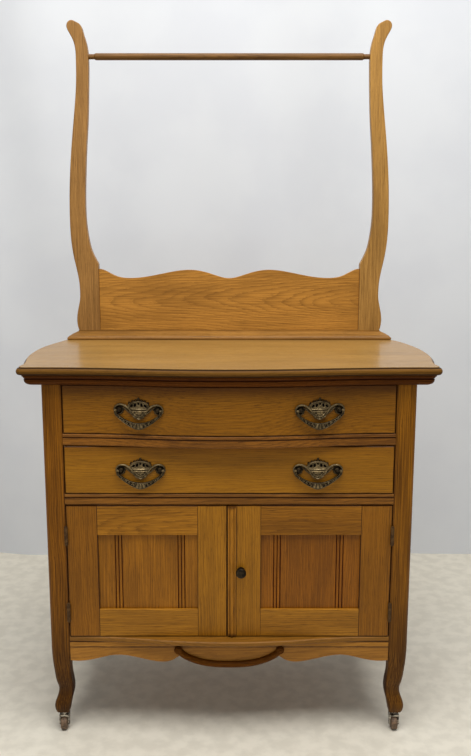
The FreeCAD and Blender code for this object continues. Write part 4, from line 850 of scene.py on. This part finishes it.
def beadRows(name, runs, spacing, material):
    points, edges = [], []
    for run in runs:
        start = len(points)
        points.extend(run)
        edges.extend((start + index, start + index + 1) for index in range(len(run) - 1))
    return repeated(name, onPaths, points, edges, beadPiece, (0.0, 0.0, 0.0), spacing, material)


# each arc is (first degree, last degree, share of the basket's reach, y)
beadPlan = {
    "arcs": ((204, 336, 0.85, -3.9), (28, 152, 0.86, -4.6)), "arcSteps": 33,
    "bossRadius": 5.7, "bossY": -1.9, "bossEnd": 350, "bossSteps": 24, "spacing": 2.1,
    "bail": ((13.5, -28.2), (18, -25.9), (23, -22.9), (28, -19.9), (33, -16.3),
             (38, -12.2)),
    "bailRise": 1.9, "bailSpacing": 3.4,
}


def pullBeads():
    # beads round the bowl, along the crown and on the bosses
    plan = beadPlan
    runs = []
    for first, last, inwards, y in plan["arcs"]:
        turn = np.radians(np.linspace(first, last, plan["arcSteps"]))
        reach = basketOutline(turn) * inwards
        runs.append(list(zip(reach * np.cos(turn), np.full_like(turn, y), reach * np.sin(turn))))
    ring = np.radians(np.linspace(0.0, plan["bossEnd"], plan["bossSteps"]))
    for side in (-1, 1):
        runs.append([(side * pullPlan["centres"] + plan["bossRadius"] * math.cos(turn),
                      plan["bossY"], plan["bossRadius"] * math.sin(turn)) for turn in ring])
    return beadRows("pullBeads", runs, plan["spacing"], pullBrass["lowerPlates"])


plateMeshes = [basketMesh(), bossMesh(-1.0), bossMesh(1.0), pullTubes(), pullBeads()]
plateMeshes += [spun("post", pullPlan["post"], (side * pullPlan["centres"], 0.0, 0.0),
                     (0.0, -1.0, 0.0), pullPlan["postSteps"]) for side in (-1, 1)]

bailPlan = {
    "earIn": 41, "thick": 3.6, "alongSteps": 91, "acrossSteps": 25, "rounds": 16,
    "outer": ((0, -37.7), (4, -37.4), (10, -35.1), (19.5, -30.3), (29, -23.8),
              (38, -16.6), (46, -8.2), (46.4, -3), (45.8, 1.6)),
    "inner": ((0, -24.2), (9.25, -23.4), (18.5, -20.8), (27.75, -16.4), (37, -9.8),
              (41, -6), (41, 1.6)),
    "sunk": 0.9, "border": (1.3, 1.1, 0.8), "edge": (-1, 0, 0.35), "field": (1.6, 3),
    "middle": (8, 13), "fanZ": -16, "flutes": 15, "fanBase": 1.3, "fanRise": 0.7,
    "waveBase": 0.5, "waveRise": 0.9, "waveX": 0.9, "waveZ": 0.7, "highest": 1.6, "backIn": 0.3,
    "pin": ((1.4, 0), (1.4, 7)), "pinIn": 1, "pinSteps": 16, "eyeSteps": 20,
    "eye": ((1.6, -0.4), (2.3, 0), (2.5, 1.6), (2.5, 3.8), (2.3, 5), (1.4, 5.6)),
}


def bailLine(key):
    # half of a line, softened and mirrored
    half = softened(alongLine(bailPlan[key], bailPlan["alongSteps"]), bailPlan["rounds"])
    return np.concatenate([half[:0:-1] * (-1.0, 1.0), half])


def bailMesh():
    plan = bailPlan
    outer, inner = bailLine("outer"), bailLine("inner")
    across = np.linspace(0.0, 1.0, plan["acrossSteps"])[None, :]
    x = inner[:, :1] * (1.0 - across) + outer[:, :1] * across
    z = inner[:, 1:] * (1.0 - across) + outer[:, 1:] * across
    width = np.hypot(*(outer - inner).T)[:, None]
    fromInner, fromOuter = across * width, (1.0 - across) * width
    base = plan["thick"] / 2.0
    height = base - plan["sunk"]
    for key in ("border", "edge"):
        height = height + ridge(fromInner, *plan[key]) + ridge(fromOuter, *plan[key])
    # a fan in the middle and waves along the arms
    centre = 1.0 - smooth(np.abs(x), *plan["middle"])
    fan = np.cos(np.arctan2(x, -(z - plan["fanZ"])) * plan["flutes"])
    field = smooth(fromInner, *plan["field"]) * smooth(fromOuter, *plan["field"])
    height = height + centre * field * (plan["fanBase"] + plan["fanRise"] * fan)
    waves = plan["waveRise"] * np.cos(x * plan["waveX"] + np.sin(z * plan["waveZ"]))
    height = height + (1.0 - centre) * field * (plan["waveBase"] + waves)
    height = np.minimum(height, base + plan["highest"])
    middleY = -pullPlan["standOff"]
    backY = middleY + base - plan["backIn"]
    front = np.stack([x, middleY - height, z], axis=-1) * millimetre
    back = np.stack([x, np.full_like(x, backY), z], axis=-1) * millimetre
    return reliefSheet("bail", front, back, False)


def bailPins():
    plan = bailPlan
    pins = []
    for side in (-1, 1):
        start = (side * (plan["earIn"] + plan["pinIn"]), -pullPlan["standOff"], 0.0)
        pins.append(spun("pin", plan["pin"], start, (-side, 0.0, 0.0), plan["pinSteps"]))
        start = (side * plan["earIn"], -pullPlan["standOff"], 0.0)
        pins.append(spun("eye", plan["eye"], start, (side, 0.0, 0.0), plan["eyeSteps"]))
    return pins


bailBeadY = -pullPlan["standOff"] - beadPlan["bailRise"]
bailRuns = [[(side * x, bailBeadY, z) for x, z in beadPlan["bail"]] for side in (-1, 1)]
bailBeads = beadRows("bailBeads", bailRuns, beadPlan["bailSpacing"], pullBrass["lowerBail"])
bailMeshes = [bailMesh(), bailBeads] + bailPins()


def pullPlace(sign, seat):
    spot = Vector((sign * seat["x"], caseFront - seat["forward"], seat["z"]))
    shift = Matrix.Translation(spot * millimetre)
    return shift @ Matrix.Rotation(math.radians(sign * seat["turn"]), 4, "Z")


for level, seat in pullSeats.items():
    places = {"left": pullPlace(-1.0, seat), "right": pullPlace(1.0, seat)}
    parts = [(mesh, place) for place in places.values() for mesh in plateMeshes]
    plates = joined(level + "PullPlatesPierced", parts, pullBrass[level + "Plates"])
    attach(plates, level + "_drawer")
    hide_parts(level + "_pull_plates")
    for side, place in places.items():
        bailName = "bail_" + level + "_" + side
        parts = [(mesh, place) for mesh in bailMeshes]
        bail = joined(level + side.capitalize() + "BailChased", parts, pullBrass[level + "Bail"])
        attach(bail, bailName)
        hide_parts(bailName)
bpy.data.objects.remove(beadPiece)
print("pulls made")


# Turned caps on the end bosses of the apron's scroll: a rim, a groove and a button

capPlan = {
    "x": 101.5, "y": -180, "z": 181.8, "steps": 48,
    "profile": ((6.7, 0), (6.7, 1.3), (6.1, 2.1), (5.3, 2.2), (4.5, 1.7), (4, 1.5),
                (3.6, 1.7), (3, 2.5), (1.7, 2.9), (0.4, 3)),
}
caps = [(spun("cap", capPlan["profile"], (side * capPlan["x"], capPlan["y"], capPlan["z"]),
              (0.0, -1.0, 0.0), capPlan["steps"]), Matrix.Identity(4)) for side in (-1, 1)]
scrollCaps = joined("scrollBossCaps", caps, nodes["apron_scroll"].material_slots[0].material)
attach(scrollCaps, "case")
print("scroll caps made")


# Fasteners that show when the doors or drawers are open, and at the back

screwPlan = {
    "radius": 3.0, "rise": 0.12, "sunk": -0.4, "slotWide": 0.7, "arcSteps": 15,
    "hingeHeights": (422.0, 263.0), "rows": (-12.0, 0.0, 12.0), "y": -165.0, "middleBack": 4.0,
    "leafThick": 1.3,
}
nailPlan = {
    "radius": 2.2, "rise": 0.6, "segments": 14, "rings": 8, "inset": 5.0,
    "sideHeights": range(210, 715, 84), "rowHeights": (213, 731), "rowPlaces": range(-240, 241, 80),
}


def buildScrew(shape):
    # a slotted head, flat, looking along +X
    plan = screwPlan
    radius = plan["radius"]
    edge = math.asin(plan["slotWide"] / 2.0 / radius)
    turns = np.linspace(edge, math.pi - edge, plan["arcSteps"])
    for sign in (-1, 1):
        outline = [(radius * math.cos(turn), sign * radius * math.sin(turn)) for turn in turns]
        lower, upper = [[shape.verts.new(Vector((x, y, z)) * millimetre) for y, z in outline]
                        for x in (plan["sunk"], plan["rise"])]
        shape.faces.new(upper)
        shape.faces.new(list(reversed(lower)))
        for index in range(len(outline)):
            after = (index + 1) % len(outline)
            shape.faces.new((lower[index], lower[after], upper[after], upper[index]))
    bmesh.ops.recalc_face_normals(shape, faces=shape.faces)


def buildNail(shape):
    plan = nailPlan
    bmesh.ops.create_uvsphere(shape, u_segments=plan["segments"], v_segments=plan["rings"],
                              radius=plan["radius"] * millimetre)
    for vert in shape.verts:
        vert.co.y *= plan["rise"] / plan["radius"]


screwPiece = smallPiece("screw", buildScrew)
nailPiece = smallPiece("nail", buildNail)


def fasteners(name, piece, points, turn, body):
    made = linked(name, repeated(name, onPoints, points, [], piece, turn, 1.0, screwSteel))
    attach(made, body)


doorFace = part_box("right_door_hinge_leaves")[0].x / millimetre + screwPlan["leafThick"]
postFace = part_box("post_hinge_leaves")[1].x / millimetre - screwPlan["leafThick"]
faceIn, faceOut = (0.0, 0.0, math.pi), (0.0, 0.0, 0.0)
for side, sign, turns in (("left", -1.0, (faceIn, faceOut)), ("right", 1.0, (faceOut, faceIn))):
    for owner, face, turn, body in (("Door", doorFace, turns[0], side + "_door"),
                                    ("Post", postFace, turns[1], "case")):
        spots = [(sign * face, screwPlan["y"] + (screwPlan["middleBack"] if row == 0.0 else 0.0),
                  height + row) for height in screwPlan["hingeHeights"]
                 for row in screwPlan["rows"]]
        fasteners(side + owner + "HingeScrews", screwPiece, spots, turn, body)

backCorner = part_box("back_panel")[1] / millimetre
nailX = backCorner.x - nailPlan["inset"]
nailSpots = [(side * nailX, backCorner.y, z) for side in (-1.0, 1.0)
             for z in nailPlan["sideHeights"]]
nailSpots += [(x, backCorner.y, z) for x in nailPlan["rowPlaces"] for z in nailPlan["rowHeights"]]
fasteners("backPanelNails", nailPiece, nailSpots, (0.0, 0.0, 0.0), "case")
for piece in (screwPiece, nailPiece):
    bpy.data.objects.remove(piece)
print("fasteners made")


# Floor, cloth backdrop, light and camera, in metres

floorPlan = {"half": 5.0, "colours": ((223, 218, 204), (211, 206, 192)), "scale": 0.03,
             "roughness": 0.6}
clothPlan = {
    "y": 0.787, "halfWidth": 3.2, "height": 3.6, "columns": 321, "rows": 41, "seed": 7,
    "waves": 9, "wave": (4.0, 22.0), "lean": (-0.25, 0.25), "size": (0.4, 1.0), "depth": 0.08,
    "phase": (0.0, 6.28), "colours": ((217, 221, 227), (212, 216, 223)), "scale": 0.004,
    "roughness": 0.9,
}


def makeStageFinish(name, plan, oneSided):
    graph = Graph(name)
    broad = graph.clouds(*graph.place(), plan["scale"], 4.0)
    light, dark = plan["colours"]
    colour = graph.mix(graph.ramp(broad, 0.35, 0.65), tint(*light), tint(*dark))
    if oneSided:
        # the cloth is clear from behind, so that the back of the washstand can be seen
        behind = graph.add("ShaderNodeNewGeometry", output="Backfacing")
        clear = graph.add("ShaderNodeBsdfTransparent")
        opaque = Wire(graph, graph.surface.outputs[0])
        shown = graph.add("ShaderNodeMixShader", None, {0: behind, 1: opaque, 2: clear})
        graph.put(graph.output, shown)
    return graph.finish({"Base Color": colour, "Roughness": plan["roughness"]})


def makeCloth():
    plan = clothPlan
    columns, rows = plan["columns"], plan["rows"]
    rng = np.random.default_rng(plan["seed"])
    x = np.linspace(-plan["halfWidth"], plan["halfWidth"], columns)[None, :]
    z = np.linspace(0.0, plan["height"], rows)[:, None]
    y = np.zeros((rows, columns)) + plan["y"]
    for _ in range(plan["waves"]):
        wave = rng.uniform(*plan["wave"])
        lean = rng.uniform(*plan["lean"])
        size = rng.uniform(*plan["size"]) * plan["depth"] / wave
        y = y + size * np.sin(wave * (x + lean * z) + rng.uniform(*plan["phase"]))
    points = np.stack(np.broadcast_arrays(x, y, z), axis=-1).reshape(-1, 3)
    faces = []
    for row in range(rows - 1):
        for column in range(columns - 1):
            a = row * columns + column
            faces.append((a, a + 1, a + columns + 1, a + columns))
    mesh = bpy.data.meshes.new("cloth")
    mesh.from_pydata([tuple(point) for point in points], [], faces)
    return linked("clothBackdrop", smoothed(mesh))


half = floorPlan["half"]
floorMesh = bpy.data.meshes.new("floor")
floorMesh.from_pydata([(-half, -half, 0.0), (half, -half, 0.0), (half, half, 0.0),
                       (-half, half, 0.0)], [], [(0, 1, 2, 3)])
floor = linked("paleFloor", floorMesh)
floorMesh.materials.append(makeStageFinish("floorFinish", floorPlan, False))
cloth = makeCloth()
cloth.data.materials.append(makeStageFinish("clothFinish", clothPlan, True))

lightColour = (1.0, 0.98, 0.95)
lightPlans = {
    "ceiling": {"place": (0.1, -0.85, 2.9), "aim": (0.0, 0.0, 0.5), "size": (2.4, 1.5),
                "power": 84.0},
    "frontFill": {"place": (-0.6, -2.8, 1.9), "aim": (0.0, 0.0, 0.7), "size": (1.8, 1.2),
                  "power": 7.0},
}
skyPlan = {"Color": (1.0, 0.98, 0.94, 1.0), "Strength": 0.2}

world = bpy.data.worlds.new("studio")
bpy.context.scene.world = world
world.use_nodes = True
for key, value in skyPlan.items():
    world.node_tree.nodes["Background"].inputs[key].default_value = value
for name, plan in lightPlans.items():
    light = bpy.data.lights.new(name, "AREA")
    light.shape = "RECTANGLE"
    light.size, light.size_y = plan["size"]
    light.energy = plan["power"]
    light.color = lightColour
    lamp = linked(name, light)
    lamp.location = plan["place"]
    lamp.rotation_mode = "QUATERNION"
    aim = Vector(plan["aim"]) - Vector(plan["place"])
    lamp.rotation_quaternion = aim.to_track_quat("-Z", "Y")

cameraPlan = {"height": 1.014, "back": -1.7265, "pitch": 10.24, "focalPixels": 837.9,
              "tall": 756.0, "sensor": 36.0, "centreOff": 6.3, "near": 0.01}
cameraData = bpy.data.cameras.new("camera")
cameraData.sensor_width = cameraPlan["sensor"]
cameraData.lens = cameraPlan["focalPixels"] / cameraPlan["tall"] * cameraPlan["sensor"]
cameraData.shift_x = cameraPlan["centreOff"] / cameraPlan["tall"]
cameraData.clip_start = cameraPlan["near"]
camera = linked("camera", cameraData)
camera.location = (0.0, cameraPlan["back"], cameraPlan["height"])
camera.rotation_euler = Euler((math.radians(90.0 - cameraPlan["pitch"]), 0.0, 0.0))
bpy.context.scene.camera = camera
bpy.context.scene.view_settings.view_transform = "Standard"
print("stage, lights and camera made")
